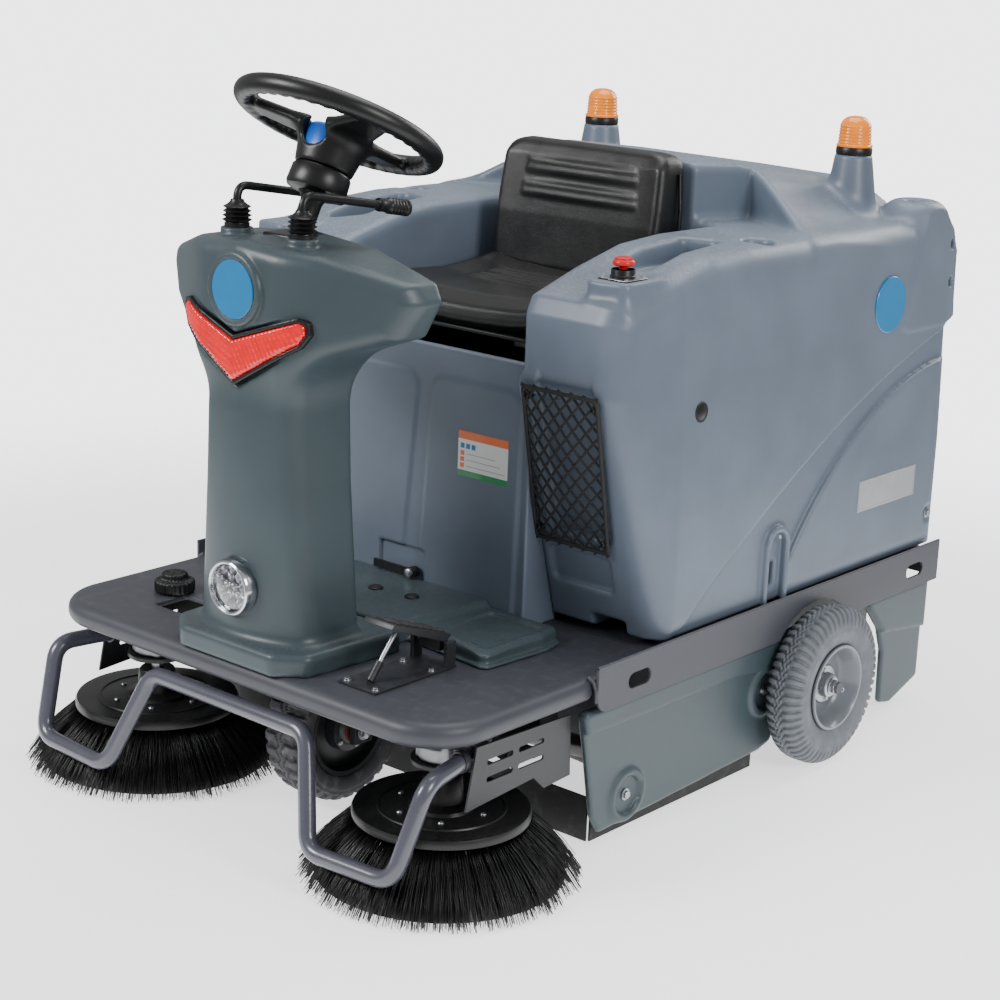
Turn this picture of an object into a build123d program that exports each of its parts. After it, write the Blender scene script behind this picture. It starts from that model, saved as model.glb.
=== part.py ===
from build123d import *
import math
import os

# Ride-on sweeper: one steered front wheel, two rear wheels, two side brushes and a main brush.
# Millimetres.  +Z up, front towards -Y, +X is the driver's left-hand side.
# The origin is on the ground, below the centre of the whole machine.

# ---------------------------------------------------------------- driving dimensions
deck_top = 343.0            # height of the step-through deck
plate_t = 6.0               # deck, floor and rail plate
deck_half_w = 522.0
deck_front = -762.0
deck_lip_end = -352.0       # rolled lip runs back to here, then the side rails begin
deck_rear = -150.0
deck_lip_h = 46.0
deck_lip_r = 21.0
deck_corner_r = 118.0

body_half_w = 525.0         # moulded rear body
body_rear = 852.0
body_wall = 7.0
console_inner = 262.0       # inner wall of each side console
console_top = 1074.0
console_nose_top = 992.0
console_front_foot = -146.0
console_front_top = -283.0
well_floor = 858.0          # ledge that carries the seat
well_rear = 300.0           # rear wall of the seat well
hump_top = 1160.0
post_top = 1196.0           # top of the tapered beacon posts
beacon_x = 336.0
beacon_y = 693.0
cup_x = 447.0               # round wells in the consoles
cup_y = 189.0
cup_r = 40.0
stop_x = 430.0              # emergency stop
stop_y = -205.0
stop_stem_r = 8.0

rail_out = 536.0            # outer face of the side rail plates
rail_bottom = 278.0
rail_top = 366.0
rail_slots = ((-262, -194), (718, 786))
chassis_top = deck_top - plate_t
member_h = 46.0
member_w = 42.0
member_x = 404.0            # inner face of each long side member

column_front = -741.0       # steering column
column_foot_half = 142.0
column_neck_half = 108.0
column_wall = 7.0
head_bottom = 887.0
head_top = 1121.0
head_half_w = 317.0
head_rear = -540.0
lamp_z = 478.0              # headlight in the column's front
lamp_r = 43.0

steer_centre_y = -495.0     # steering wheel
steer_centre_z = 1287.0
steer_tilt = 26.5
steer_ring_r = 179.0
steer_tube_r = 15.0
steer_ratio = 3.0
shaft_r = 13.9

front_wheel_y = -475.0
front_wheel_r = 150.0
front_wheel_w = 100.0
front_rim_r = 98.0
fork_stem_r = 22.5
fork_axle_r = 10.0

rear_wheel_y = 363.0
rear_wheel_r = 165.0
rear_wheel_w = 80.0
rear_wheel_x = 564.0        # middle of each rear tyre
rear_rim_r = 84.0
axle_r = 12.5

side_brush_x = 383.0
side_brush_y = -592.0
side_disc_r = 161.0
side_disc_z = 131.0         # top of the brush disc
bristle_r = 260.0
bristle_floor = 3.0
brush_shaft_r = 12.0

main_brush_y = 20.0
main_brush_r = 140.0
main_brush_half = 352.0
main_brush_z = main_brush_r + 2.0
main_shaft_r = 12.0

hopper_half_w = 378.0
hopper_front = 205.0
hopper_rear = 838.0
hopper_bottom = 58.0
hopper_top = 276.0
sheet_t = 4.0

seat_half_w = 222.0
seat_bottom = 884.0
bumper_r = 16.0
run_gap = 0.05              # radial clearance of every running fit
clear = 0.5                 # clearance between parts of different bodies
seam = 0.4                  # gap between parts that only lie against each other


# ---------------------------------------------------------------- helpers
def block(x0, x1, y0, y1, z0, z1):
    """A box from its six faces."""
    size = Box(x1 - x0, y1 - y0, z1 - z0)
    return Pos((x0 + x1) / 2, (y0 + y1) / 2, (z0 + z1) / 2) * size


def bar_x(x0, x1, y, z, r):
    """A round bar along X."""
    return Pos((x0 + x1) / 2, y, z) * Rot(0, 90, 0) * Cylinder(r, x1 - x0)


def bar_y(y0, y1, x, z, r):
    """A round bar along Y."""
    return Pos(x, (y0 + y1) / 2, z) * Rot(90, 0, 0) * Cylinder(r, y1 - y0)


def bar_z(z0, z1, x, y, r):
    """A round bar along Z."""
    return Pos(x, y, (z0 + z1) / 2) * Cylinder(r, z1 - z0)


def cone_z(z0, z1, x, y, r0, r1):
    """A cone from radius r0 at z0 to r1 at z1."""
    return Pos(x, y, (z0 + z1) / 2) * Cone(r0, r1, z1 - z0)


def prism_x(points, x0, x1):
    """A (y, z) outline drawn out from x0 to x1."""
    face = make_face(Plane.YZ.offset(x0) * Polyline(*points, close=True))
    return extrude(face, amount=x1 - x0, dir=(1, 0, 0))


def prism_y(points, y0, y1):
    """An (x, z) outline drawn out from y0 to y1."""
    outline = Polyline(*[(x, y0, z) for x, z in points], close=True)
    return extrude(make_face(outline), amount=y1 - y0, dir=(0, 1, 0))


def prism_z(points, z0, z1):
    """An (x, y) outline drawn out from z0 to z1."""
    outline = Polyline(*[(x, y, z0) for x, y in points], close=True)
    return extrude(make_face(outline), amount=z1 - z0, dir=(0, 0, 1))


def mirrored(part):
    """The same part on the other side of the machine."""
    return part.mirror(Plane.YZ)


def both_sides(part):
    return [part, mirrored(part)]


def ring_x(x0, x1, y, z, r_out, r_in):
    """A plain ring about an axis along X."""
    return bar_x(x0, x1, y, z, r_out) - bar_x(x0 - 1, x1 + 1, y, z, r_in)


def round_vertical(part, radius, x_min=0.0):
    """Rounds the upright edges that lie further out than x_min."""
    edges = part.edges().filter_by(Axis.Z).filter_by(lambda e: abs(e.center().X) > x_min)
    return fillet(edges, radius)


def slot_x(y0, y1, z, r, x0, x1):
    """A slot along Y through a plate that faces X."""
    middle = block(x0, x1, y0 + r, y1 - r, z - r, z + r)
    return middle + bar_x(x0, x1, y0 + r, z, r) + bar_x(x0, x1, y1 - r, z, r)


nodes = {}


# ---------------------------------------------------------------- deck and chassis
stem_hole_r = fork_stem_r + run_gap


def front_deck():
    """The deck plate with its rolled lip, open underneath."""
    outer = block(-deck_half_w, deck_half_w, deck_front, deck_rear, deck_top - deck_lip_h, deck_top)
    front_edges = outer.edges().filter_by(Axis.Z).sort_by(Axis.Y)[:2]
    outer = fillet(front_edges, deck_corner_r)
    rim = outer.edges().group_by(Axis.Z)[-1].filter_by(lambda e: e.center().Y < deck_rear - 1)
    outer = fillet(rim, deck_lip_r)
    under = deck_top - plate_t
    hollow = block(-deck_half_w + 28, deck_half_w - 28, deck_front + 28, deck_rear + 1, 0, under)
    hollow = fillet(hollow.edges().filter_by(Axis.Z).sort_by(Axis.Y)[:2], deck_corner_r - 28)
    outer = outer - hollow
    behind = block(0, deck_half_w + 1, deck_lip_end, deck_rear + 1, 0, chassis_top)
    outer = outer - behind - mirrored(behind)
    outer = outer - bar_z(0, deck_top + 1, 0, front_wheel_y, stem_hole_r)
    cutout = block(-332, -234, -640, -560, under - 60, deck_top + 1)
    return outer - cutout


def chassis_frame():
    """Side members, cross members, floor plate and side rail plates, welded into one frame."""
    floor = block(-rail_out + plate_t, rail_out - plate_t, deck_rear + seam, body_rear - plate_t,
                  chassis_top, deck_top)
    suction = block(-300, 300, hopper_front + 60, hopper_rear - 120, chassis_top - 1, deck_top + 1)
    frame = floor - suction
    member = block(member_x, member_x + member_w, deck_lip_end, body_rear - plate_t,
                   chassis_top - member_h, chassis_top)
    rail = block(rail_out - plate_t, rail_out, deck_lip_end, body_rear, rail_bottom, rail_top)
    rail = fillet(rail.edges().filter_by(Axis.X).sort_by(lambda e: e.center().Y + e.center().Z)[0], 30)
    for y0, y1 in rail_slots:
        rail = rail - slot_x(y0, y1, 318, 15, rail_out - plate_t - 1, rail_out + 1)
    rail = rail - bar_x(rail_out - 20, rail_out + 1, rear_wheel_y, rear_wheel_r, rear_wheel_r + 5)
    hanger = block(member_x + member_w - 10, member_x + member_w, rear_wheel_y - 45, rear_wheel_y + 45,
                   rear_wheel_r - 32, chassis_top - member_h + 1)
    axle_end = rear_wheel_x + rear_wheel_w / 2 + 2
    axle = bar_x(member_x + member_w - 1, axle_end, rear_wheel_y, rear_wheel_r, axle_r)
    for part in (member, rail, hanger, axle):
        frame = frame + part + mirrored(part)
    for y in (-246, -170):
        frame = frame + block(-member_x, member_x, y, y + 40, chassis_top - member_h, chassis_top)
    tail = block(-rail_out, rail_out, body_rear - plate_t, body_rear, chassis_top - 52, deck_top)
    return frame + tail


def rubber_flaps():
    """Dust flaps beside and ahead of the main brush."""
    side = block(490, 494, -300, 224, 2, 70)
    front = block(-488, 488, -306, -302, 2, 90)
    rear = block(-480, 480, 184, 188, 2, 90)
    return [side, mirrored(side), front, rear]


arch_front = 282.0
arch_rear = 690.0
skirt_out = 520.0
skirt_t = 24.0
skirt_top = 276.0
skirt_bolts = ((-216, 76), (231, 168))


def skirt():
    """One moulded side skirt, in two lengths, ahead of and behind the wheel opening."""
    front = prism_x([(-364, skirt_top), (-346, 200), (-318, 60), (-300, 24), (226, 40),
                     (arch_front, 58), (arch_front, skirt_top)], skirt_out - skirt_t, skirt_out)
    rear = prism_x([(arch_rear, skirt_top), (arch_rear, 16), (740, 12), (body_rear - 2, 46),
                    (body_rear - 2, skirt_top)], skirt_out - skirt_t, skirt_out)
    top = prism_x([(arch_front, skirt_top - 22), (arch_front, skirt_top), (arch_rear, skirt_top),
                   (arch_rear, skirt_top - 22)], skirt_out - skirt_t, skirt_out - skirt_t + 6)
    panel = front + rear + top
    for y, z in skirt_bolts:
        panel = panel - bar_x(skirt_out - 8, skirt_out + 1, y, z, 36)
    return panel


clamp_x = 460.0
clamp_y = -610.0


def bumper_tube():
    """The bent tube in front of the side brushes."""
    centre_z = 262.0
    half = [
        (0, deck_front + 6, centre_z),
        (205, deck_front + 6, centre_z),
        (272, side_brush_y - 223, 74),
        (468, side_brush_y - 217, 78),
        (492, deck_front + 8, 248),
        (clamp_x, clamp_y, 250),
    ]
    points = [(-x, y, z) for x, y, z in reversed(half[1:])] + half[1:]
    path = FilletPolyline(*points, radius=[44, 46, 46, 40, 40, 46, 46, 44])
    return sweep(Plane(path ^ 0) * Circle(bumper_r), path=path)


def bumper_clamp():
    """A saddle block that carries one tube end below the deck plate."""
    x, y = clamp_x, clamp_y
    clamp = block(x - 14, x + 14, y + 5, y + 34, 228, 272)
    stalk = block(x - 10, x + 10, y + 5, y + 34, 271, chassis_top - seam)
    return clamp + stalk


# ---------------------------------------------------------------- moulded body
def body_outline(inset):
    """The (y, z) side outline of the body, drawn in by a wall thickness."""
    i = inset
    return [(console_front_foot + i, deck_top + seam - (1 if i else 0)), (console_front_top + i, 830 - i),
            (console_front_top + i, console_nose_top - 20 - i), (-262 + i, console_nose_top + 6 - i),
            (-150, 1034 - i), (0, console_top - i), (620, console_top - 4 - i),
            (700, 1112 - i), (828 - i, 1112 - i), (body_rear - i, 1080 - i),
            (body_rear - i, deck_top + seam - (1 if i else 0))]


def console_face(z):
    """The y of the consoles' sloping front at a height."""
    slope = (console_front_top - console_front_foot) / (830 - deck_top)
    return console_front_foot + slope * (z - deck_top)


def body_shell():
    """One hollow moulding: two consoles, the seat well between them and the rear hump."""
    shell = prism_x(body_outline(0), -body_half_w, body_half_w)
    rise = [(-470, 1070), (-394, 1092), (-185, hump_top), (185, hump_top), (394, 1092), (470, 1070)]
    shell = shell + prism_y(rise, well_rear, 800)
    cavity = prism_x(body_outline(body_wall), -body_half_w + body_wall, body_half_w - body_wall)
    inner_rise = [(x * 0.985, z - body_wall) for x, z in rise]
    cavity = cavity + prism_y(inner_rise, well_rear + body_wall, 800 - body_wall)
    well = block(-console_inner, console_inner, -400, well_rear, well_floor, 1300)
    lining = block(-console_inner - body_wall, console_inner + body_wall, -400, well_rear + body_wall,
                   well_floor - body_wall, 1300)
    shell = shell - (cavity - lining) - well
    front_gap = block(-console_inner, console_inner, -400, -233, 0, well_floor + 1)
    shell = shell - front_gap
    shell = shell - block(-console_inner, console_inner, -400, -100, 300, well_floor - 40)
    post = cone_z(1060, post_top, beacon_x, beacon_y, 62, 40)
    shell = shell + post + mirrored(post)
    tray = block(322, 407, -70, 128, 1022, 1200)
    tray_lining = block(314, 415, -78, 136, 1015, 1062)
    side_tray = tray_lining + mirrored(tray_lining)
    shell = shell + side_tray - tray - mirrored(tray)
    cup = bar_z(1044, 1200, cup_x, cup_y, cup_r)
    cup_lining = bar_z(1037, 1068, cup_x, cup_y, cup_r + 6)
    shell = shell + cup_lining + mirrored(cup_lining) - cup - mirrored(cup)
    notch = block(366, 440, console_front_foot - 5, console_front_foot + 60, 343, 384)
    shell = shell - notch - mirrored(notch)
    stop_hole = bar_z(1000, 1100, stop_x, stop_y, 14)
    return shell - stop_hole


def seat_panel():
    """The removable cover below the front of the seat."""
    half = console_inner - seam
    panel = block(-half, half, -240, -233.5, deck_top + seam, well_floor - seam)
    side = block(half - 6, half, -234, -140, deck_top + seam, well_floor - 41)
    panel = panel + side + mirrored(side)
    groove = prism_z([(-30, -241), (14, -241), (-2, -236), (-14, -236)], 450, 830)
    recess = block(-118, 6, -241, -237, 388, 440)
    return panel - groove - recess


def net_pocket():
    """The elastic net pocket on the front of the left console: its frame, its net and its clips."""
    def slab(z0, z1, x0, x1, off0, off1):
        outline = [(console_face(z0) - off0, z0), (console_face(z0) - off1, z0),
                   (console_face(z1) - off1, z1), (console_face(z1) - off0, z1)]
        return prism_x(outline, x0, x1)
    frame = slab(525, 830, 270, 450, 6, 12) - slab(533, 822, 278, 442, 5, 13)
    frame = frame + slab(530, 825, 274, 446, 8, 10)
    for x in (276, 436):
        for z in (545, 803):
            frame = frame + slab(z, z + 12, x, x + 8, seam, 7)
    return frame


def label_plates():
    """Plain round badges and a plain rating plate, thin sheets."""
    front = bar_y(column_front - 4, column_front - seam, 0, 1018, 52)
    side = bar_x(body_half_w + 0.2, body_half_w + 2.2, 586, 916, 58)
    plate = block(body_half_w + 0.2, body_half_w + 2.2, 508, 733, 490, 556)
    return [front, side, mirrored(side), plate, mirrored(plate)]


def beacon_collars():
    collar = bar_z(post_top + seam, post_top + 16, beacon_x, beacon_y, 36)
    return both_sides(collar)


def beacon_lenses():
    lens = cone_z(post_top + 16 + seam, post_top + 79, beacon_x, beacon_y, 34, 30)
    lens = fillet(lens.edges().group_by(Axis.Z)[-1], 12)
    return both_sides(lens)


def emergency_stop_base():
    """Metal plate and black collar of the emergency stop, with its switch body below."""
    plate = block(stop_x - 32, stop_x + 32, stop_y - 32, stop_y + 32, 1040, 1042)
    collar = bar_z(1042, 1058, stop_x, stop_y, 22)
    switch = bar_z(985, 1041, stop_x, stop_y, 13)
    part = plate + collar + switch
    return part - bar_z(1020, 1060, stop_x, stop_y, stop_stem_r + run_gap)


def emergency_stop_button():
    """The red mushroom head and its stem."""
    head = bar_z(1064, 1080, stop_x, stop_y, 20)
    head = fillet(head.edges().group_by(Axis.Z)[-1], 6)
    return head + bar_z(1026, 1065, stop_x, stop_y, stop_stem_r)


# ---------------------------------------------------------------- seat
def seat_rails():
    """Two fixed slide rails on the seat ledge."""
    rail = block(120, 150, -130, 250, well_floor + seam, well_floor + 12)
    return both_sides(rail)


def seat_pan():
    """The pressed steel pan below the seat, sliding on its rails."""
    pan = block(-212, 212, -165, 240, 876, seat_bottom)
    shoe = block(114, 156, -110, 200, well_floor + 12 + seam, 876)
    return pan + shoe + mirrored(shoe)


def seat_cushion():
    """The lower pad, with its rolled front edge."""
    outline = [(-176, 892), (-168, 934), (-120, 956), (20, 950), (150, 956), (188, 958), (188, 885),
               (-150, 885)]
    return prism_x(outline, -seat_half_w, seat_half_w)


def seat_backrest():
    """The upper pad, leaning back."""
    outline = [(189, 890), (189, 975), (212, 1205), (240, 1216), (286, 1204), (278, 1000), (240, 890)]
    return prism_x(outline, -seat_half_w + 8, seat_half_w - 8)


# ---------------------------------------------------------------- steering column
def column_outline(inset):
    """The (x, z) front outline of column and head."""
    i = inset
    side = [(column_foot_half + 3 - i, 383 - (2 if i else 0)), (115 - i, 673),
            (column_neck_half - i, head_bottom), (276 - 1.3 * i, 958 + 0.4 * i),
            (head_half_w - i, 1038), (300 - i, 1082 - i),
            (150, head_top - 10 - i), (0, head_top - i)]
    return side + [(-x, z) for x, z in reversed(side[:-1])]


def column_plan(inset):
    """The (x, y) plan outline of the head."""
    i = inset
    side = [(head_half_w - i, head_rear - i), (head_half_w - i, -600), (276 - i, -640 + i),
            (120, column_front + i)]
    return side + [(-x, y) for x, y in reversed(side)]


def steer_axis_point(distance):
    """A point on the steering axis, measured down from the wheel's centre."""
    tilt = math.radians(steer_tilt)
    return (0, steer_centre_y - distance * math.sin(tilt), steer_centre_z - distance * math.cos(tilt))


def along_steering(part):
    """Places a part that was drawn about +Z onto the steering axis, wheel centre at its origin."""
    return Pos(0, steer_centre_y, steer_centre_z) * Rot(-steer_tilt, 0, 0) * part


def front_column():
    """The hollow column that carries steering, lamp and levers."""
    body = prism_y(column_outline(0), column_front, head_rear) & prism_z(column_plan(0), 300, 1200)
    hollow = prism_y(column_outline(column_wall), column_front + column_wall, head_rear - column_wall)
    hollow = hollow & prism_z(column_plan(column_wall), 300, 1200)
    body = body - hollow
    foot = prism_z([(-172, -727), (172, -727), (184, -484), (-184, -484)], deck_top + seam, 383)
    foot = foot - prism_z([(-162, -717), (162, -717), (174, -494), (-174, -494)], deck_top, 384)
    flange = prism_z([(-172, -730), (172, -730), (184, -484), (-184, -484)], 379, 387)
    stem_opening = [(-136, -733), (136, -733), (136, -562), (-136, -562)]
    flange = flange - prism_z(stem_opening, 370, 395)
    body = body + foot + flange
    neck = along_steering(Pos(0, 0, -240) * Cylinder(33, 200))
    body = body - neck - block(-78, 78, -500, -480, deck_top, 376)
    for x in (-lever_x, lever_x):
        body = body - bar_z(1060, 1130, x, lever_y, 18)
    body = body - bar_y(column_front - 1, column_front + 30, 0, lamp_z, 40)
    return body


def headlight_bezel():
    return bar_y(column_front - 14, column_front - seam, 0, lamp_z, 50) - bar_y(-800, -700, 0, lamp_z, lamp_r)


def headlight_lens():
    bowl = bar_y(column_front - 11, column_front + 24, 0, lamp_z, 39)
    return bowl + bar_y(column_front - 12, column_front - 6, 0, lamp_z, lamp_r - seam)


def chevron_lamp():
    """The red V-shaped position lamp."""
    outline = [(0, 857), (-149, 946), (-149, 981), (0, 930), (149, 981), (149, 946)]
    return prism_y(outline, -766, column_front - seam)


tunnel_top = 386.0


def tunnel_cover():
    """The moulded cover over the steering gear between column and seat."""
    centre = prism_z([(-150, -483), (150, -483), (182, -242), (-182, -242)], deck_top + seam, tunnel_top)
    wing = prism_z([(100, -430), (352, -454), (362, -300), (352, -246), (100, -246)], deck_top + seam, 374)
    cover = centre + wing + mirrored(wing)
    inner = prism_z([(-144, -484), (144, -484), (174, -249), (-174, -249)], deck_top - 1, tunnel_top - 5)
    inner_wing = prism_z([(100, -422), (344, -446), (354, -300), (344, -254), (100, -254)], deck_top - 1, 369)
    return cover - inner - inner_wing - mirrored(inner_wing)


# ---------------------------------------------------------------- steering gear


def steering_wheel():
    """The rim, three wide spokes and the hub."""
    rim = Torus(steer_ring_r, steer_tube_r)
    hub = Pos(0, 0, -52) * Cone(34, 62, 70)
    wheel = rim + hub
    for angle in (0, 128, 232):
        web = Pos(105, 0, -14) * Rot(0, -7, 0) * Box(124, 56, 12)
        wheel = wheel + Rot(0, 0, angle + 90) * web
    return along_steering(wheel - Pos(0, 0, -60) * Cylinder(shaft_r + 0.1, 120))


def steering_wheel_cap():
    """The round cap in the middle of the wheel."""
    return along_steering(Pos(0, 0, -9.5) * Cylinder(42, 14))


def steering_shaft():
    """The tilted shaft from the wheel hub down to the bevel gearbox."""
    return along_steering(Pos(0, 0, -215) * Cylinder(shaft_r, 370))


def steering_gearbox():
    """The bevel gearbox that turns the tilted shaft's motion into a vertical one."""
    x, y, z = steer_axis_point(400)
    case = block(-38, 38, y - 40, y + 62, z - 42, z + 42)
    case = case + block(-20, 20, y + 60, -548, z - 10, z + 10)
    case = case - along_steering(Pos(0, 0, -380) * Cylinder(shaft_r + run_gap, 80))
    return case - bar_z(z - 60, z - 10, 0, y, 10 + run_gap)


gear_out_y = steer_axis_point(400)[1]
gear_out_z = steer_axis_point(400)[2]
pinion_r = 22.0
sprocket_r = pinion_r * steer_ratio
chain_z = 361.0
chain_t = 8.0


def steering_drop_shaft():
    """The vertical shaft inside the column, with the small sprocket at its foot."""
    pinion = bar_z(chain_z - 4, chain_z + 4, 0, gear_out_y, pinion_r)
    return bar_z(chain_z - 6, gear_out_z - 11, 0, gear_out_y, 10) + pinion


def steering_chain():
    """The chain between the two sprockets, as one closed band."""
    def loop(r_small, r_big, height):
        reach = front_wheel_y - gear_out_y
        lean = math.asin((r_big - r_small) / reach)
        band = bar_z(chain_z - height / 2, chain_z + height / 2, 0, gear_out_y, r_small)
        band = band + bar_z(chain_z - height / 2, chain_z + height / 2, 0, front_wheel_y, r_big)
        c, s = math.cos(lean), math.sin(lean)
        web = [(r_small * c, gear_out_y - r_small * s), (r_big * c, front_wheel_y - r_big * s),
               (-r_big * c, front_wheel_y - r_big * s), (-r_small * c, gear_out_y - r_small * s)]
        return band + prism_z(web, chain_z - height / 2, chain_z + height / 2)
    outside = loop(pinion_r + 5, sprocket_r + 5, chain_t)
    return outside - loop(pinion_r + clear, sprocket_r + clear, chain_t + 2)


def steering_fork():
    """Stem, sprocket, crown, two legs and the wheel axle."""
    half = front_wheel_w / 2
    crown_z = 2 * front_wheel_r + 8
    fork = bar_z(crown_z, chain_z + 10, 0, front_wheel_y, fork_stem_r)
    fork = fork + bar_z(chain_z - 4, chain_z + 4, 0, front_wheel_y, sprocket_r)
    fork = fork + block(-half - 26, half + 26, front_wheel_y - 34, front_wheel_y + 34, crown_z, crown_z + 16)
    leg = block(half + 12, half + 26, front_wheel_y - 24, front_wheel_y + 24, front_wheel_r - 24, crown_z + 1)
    fork = fork + leg + mirrored(leg)
    return fork + bar_x(-half - 34, half + 34, front_wheel_y, front_wheel_r, fork_axle_r)


def front_hub_motor():
    """The wheel rim with the drive motor's casing in its middle."""
    half = front_wheel_w / 2
    rim = bar_x(-half + 8, half - 8, front_wheel_y, front_wheel_r, front_rim_r)
    for side in (-1, 1):
        x0, x1 = sorted((side * (half - 30), side * (half + 1)))
        rim = rim - ring_x(x0, x1, front_wheel_y, front_wheel_r, front_rim_r - 10, 48)
    casing = bar_x(-half - 6, half + 6, front_wheel_y, front_wheel_r, 40)
    return rim + casing - bar_x(-200, 200, front_wheel_y, front_wheel_r, fork_axle_r + run_gap)


def rounded_tyre(x, y, z, width, r_out, r_in, round_r):
    tyre = ring_x(x - width / 2, x + width / 2, y, z, r_out, r_in)
    shoulder = tyre.edges().filter_by(GeomType.CIRCLE).filter_by(lambda e: e.radius > r_out - 1)
    return fillet(shoulder, round_r)


def front_tyre():
    return rounded_tyre(0, front_wheel_y, front_wheel_r, front_wheel_w, front_wheel_r, front_rim_r, 26)


def rear_tyre():
    return rounded_tyre(rear_wheel_x, rear_wheel_y, rear_wheel_r, rear_wheel_w, rear_wheel_r, rear_rim_r, 28)


def rear_rim():
    """Dished rim with its bearing hub."""
    x, y, z = rear_wheel_x, rear_wheel_y, rear_wheel_r
    half = rear_wheel_w / 2
    rim = ring_x(x - half + 2, x + half - 2, y, z, rear_rim_r, rear_rim_r - 5)
    disc = bar_x(x - 6, x, y, z, rear_rim_r - 2)
    hub = bar_x(x - half, x + half - 16, y, z, 26) + bar_x(x, x + 6, y, z, 40)
    return rim + disc + hub - bar_x(x - 80, x + 80, y, z, axle_r + run_gap)


# ---------------------------------------------------------------- brushes
arm_pivot_y = -345.0
arm_pivot_z = 262.0
arm_pin_r = 8.0
guard_x = 488.0


def brush_arm():
    """The lifting arm of a side brush, with its slotted outer guard plate."""
    x, y = side_brush_x, side_brush_y
    arm = block(x - 45, x + 45, y - 10, arm_pivot_y + 16, 214, 222)
    for side in (-1, 1):
        cheek = block(x + side * 41 - 4, x + side * 41 + 4, arm_pivot_y - 34, arm_pivot_y + 16, 214, 282)
        arm = arm + cheek
    ring = bar_z(214, 222, x, y, 58)
    arm = arm + ring - bar_z(200, 240, x, y, 20)
    guard = prism_x([(-652, 166), (-628, 280), (-372, 272), (-366, 154), (-440, 150), (-470, 178)],
                    guard_x, guard_x + 4)
    for y0, z0 in ((-600, 212), (-600, 244), (-515, 212), (-515, 244)):
        guard = guard - slot_x(y0, y0 + 70, z0, 5, guard_x - 1, guard_x + 5)
    arm = arm + guard + block(x + 40, guard_x + 1, -470, -440, 214, 222)
    return arm - bar_x(x - 60, x + 60, arm_pivot_y, arm_pivot_z, arm_pin_r + run_gap)


def brush_pivots():
    """The brush arms' pivot pins and their hangers below the deck."""
    pin = bar_x(side_brush_x - 56, side_brush_x + 56, arm_pivot_y, arm_pivot_z, arm_pin_r)
    hanger = block(side_brush_x - 30, member_x - 4, arm_pivot_y - 14, arm_pivot_y + 14, arm_pivot_z - 14,
                   chassis_top - seam)
    return both_sides(pin + hanger)


def brush_motor():
    """The geared motor that stands on the arm above the brush."""
    x, y = side_brush_x, side_brush_y
    motor = bar_z(222, 252, x, y, 46) + block(x - 34, x + 34, y - 30, y + 96, 222, 262)
    motor = motor + bar_y(y + 40, y + 130, x, 250, 28)
    return motor - bar_z(190, 240, x, y, brush_shaft_r + run_gap)


def side_brush_disc():
    """The brush disc, its hub and the drive shaft."""
    x, y = side_brush_x, side_brush_y
    disc = cone_z(side_disc_z - 18, side_disc_z, x, y, side_disc_r, side_disc_r - 4)
    hub = bar_z(side_disc_z, side_disc_z + 56, x, y, 34)
    return disc + hub + bar_z(side_disc_z + 50, 238, x, y, brush_shaft_r)


def side_bristles():
    """The flared bristle skirt of a side brush, hollow inside."""
    x, y = side_brush_x, side_brush_y
    top = side_disc_z - 18 - seam
    outer = cone_z(bristle_floor, top, x, y, bristle_r, side_disc_r - 8)
    inner = cone_z(bristle_floor - 1, top - 12, x, y, bristle_r - 62, side_disc_r - 62)
    return outer - inner


def main_brush():
    """The cylindrical main brush with its shaft."""
    roll = bar_x(-main_brush_half, main_brush_half, main_brush_y, main_brush_z, main_brush_r)
    shaft = bar_x(-main_brush_half - 60, main_brush_half + 24, main_brush_y, main_brush_z, main_shaft_r)
    return roll + shaft


housing_r = main_brush_r + 12.0


def brush_housing():
    """The arched cover over the main brush, with its bearing cheeks."""
    y, z = main_brush_y, main_brush_z
    arch = ring_x(-main_brush_half - 14, main_brush_half + 14, y, z, housing_r + 4, housing_r)
    arch = arch - block(-400, 400, y - 300, y + 300, -300, z - 20)
    arch = arch - block(-400, 400, y, y + 300, -300, z + 40)
    cheek = block(main_brush_half + 8, main_brush_half + 16, y - 150, y + 150, 60, 290)
    part = arch + cheek + mirrored(cheek)
    return part - bar_x(-600, 600, y, z, main_shaft_r + run_gap)


def main_brush_motor():
    """The geared motor flanged to the housing's right cheek, in line with the brush."""
    y, z = main_brush_y, main_brush_z
    inner = -main_brush_half - 16 - seam
    motor = bar_x(inner - 8, inner, y, z, 62) + bar_x(inner - 108, inner - 8, y, z, 46)
    return motor - bar_x(inner - 60, inner + 1, y, z, main_shaft_r + run_gap)


def dust_hopper():
    """The open dust bin that slides out to the rear, with its pull handle."""
    w = hopper_half_w
    bin_part = block(-w, w, hopper_front, hopper_rear, hopper_bottom, hopper_top)
    inside = block(-w + sheet_t, w - sheet_t, hopper_front + sheet_t, hopper_rear - sheet_t,
                   hopper_bottom + sheet_t, hopper_top + 1)
    mouth = block(-w + 30, w - 30, hopper_front - 1, hopper_front + sheet_t + 1,
                  hopper_bottom + 70, hopper_top + 1)
    bin_part = bin_part - inside - mouth
    grip = block(-90, 90, hopper_rear, hopper_rear + 12, 190, 208)
    grip = grip - block(-78, 78, hopper_rear, hopper_rear + 8, 180, 220)
    return bin_part + grip


def filter_panel():
    """The pleated dust filter over the hopper's suction opening."""
    panel = block(-310, 310, hopper_front + 50, hopper_rear - 110, deck_top + seam, deck_top + 70)
    window = block(-280, 280, hopper_front + 80, hopper_rear - 140, deck_top, deck_top + 10)
    return panel - window


fan_y = 560.0
fan_z = 520.0


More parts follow.
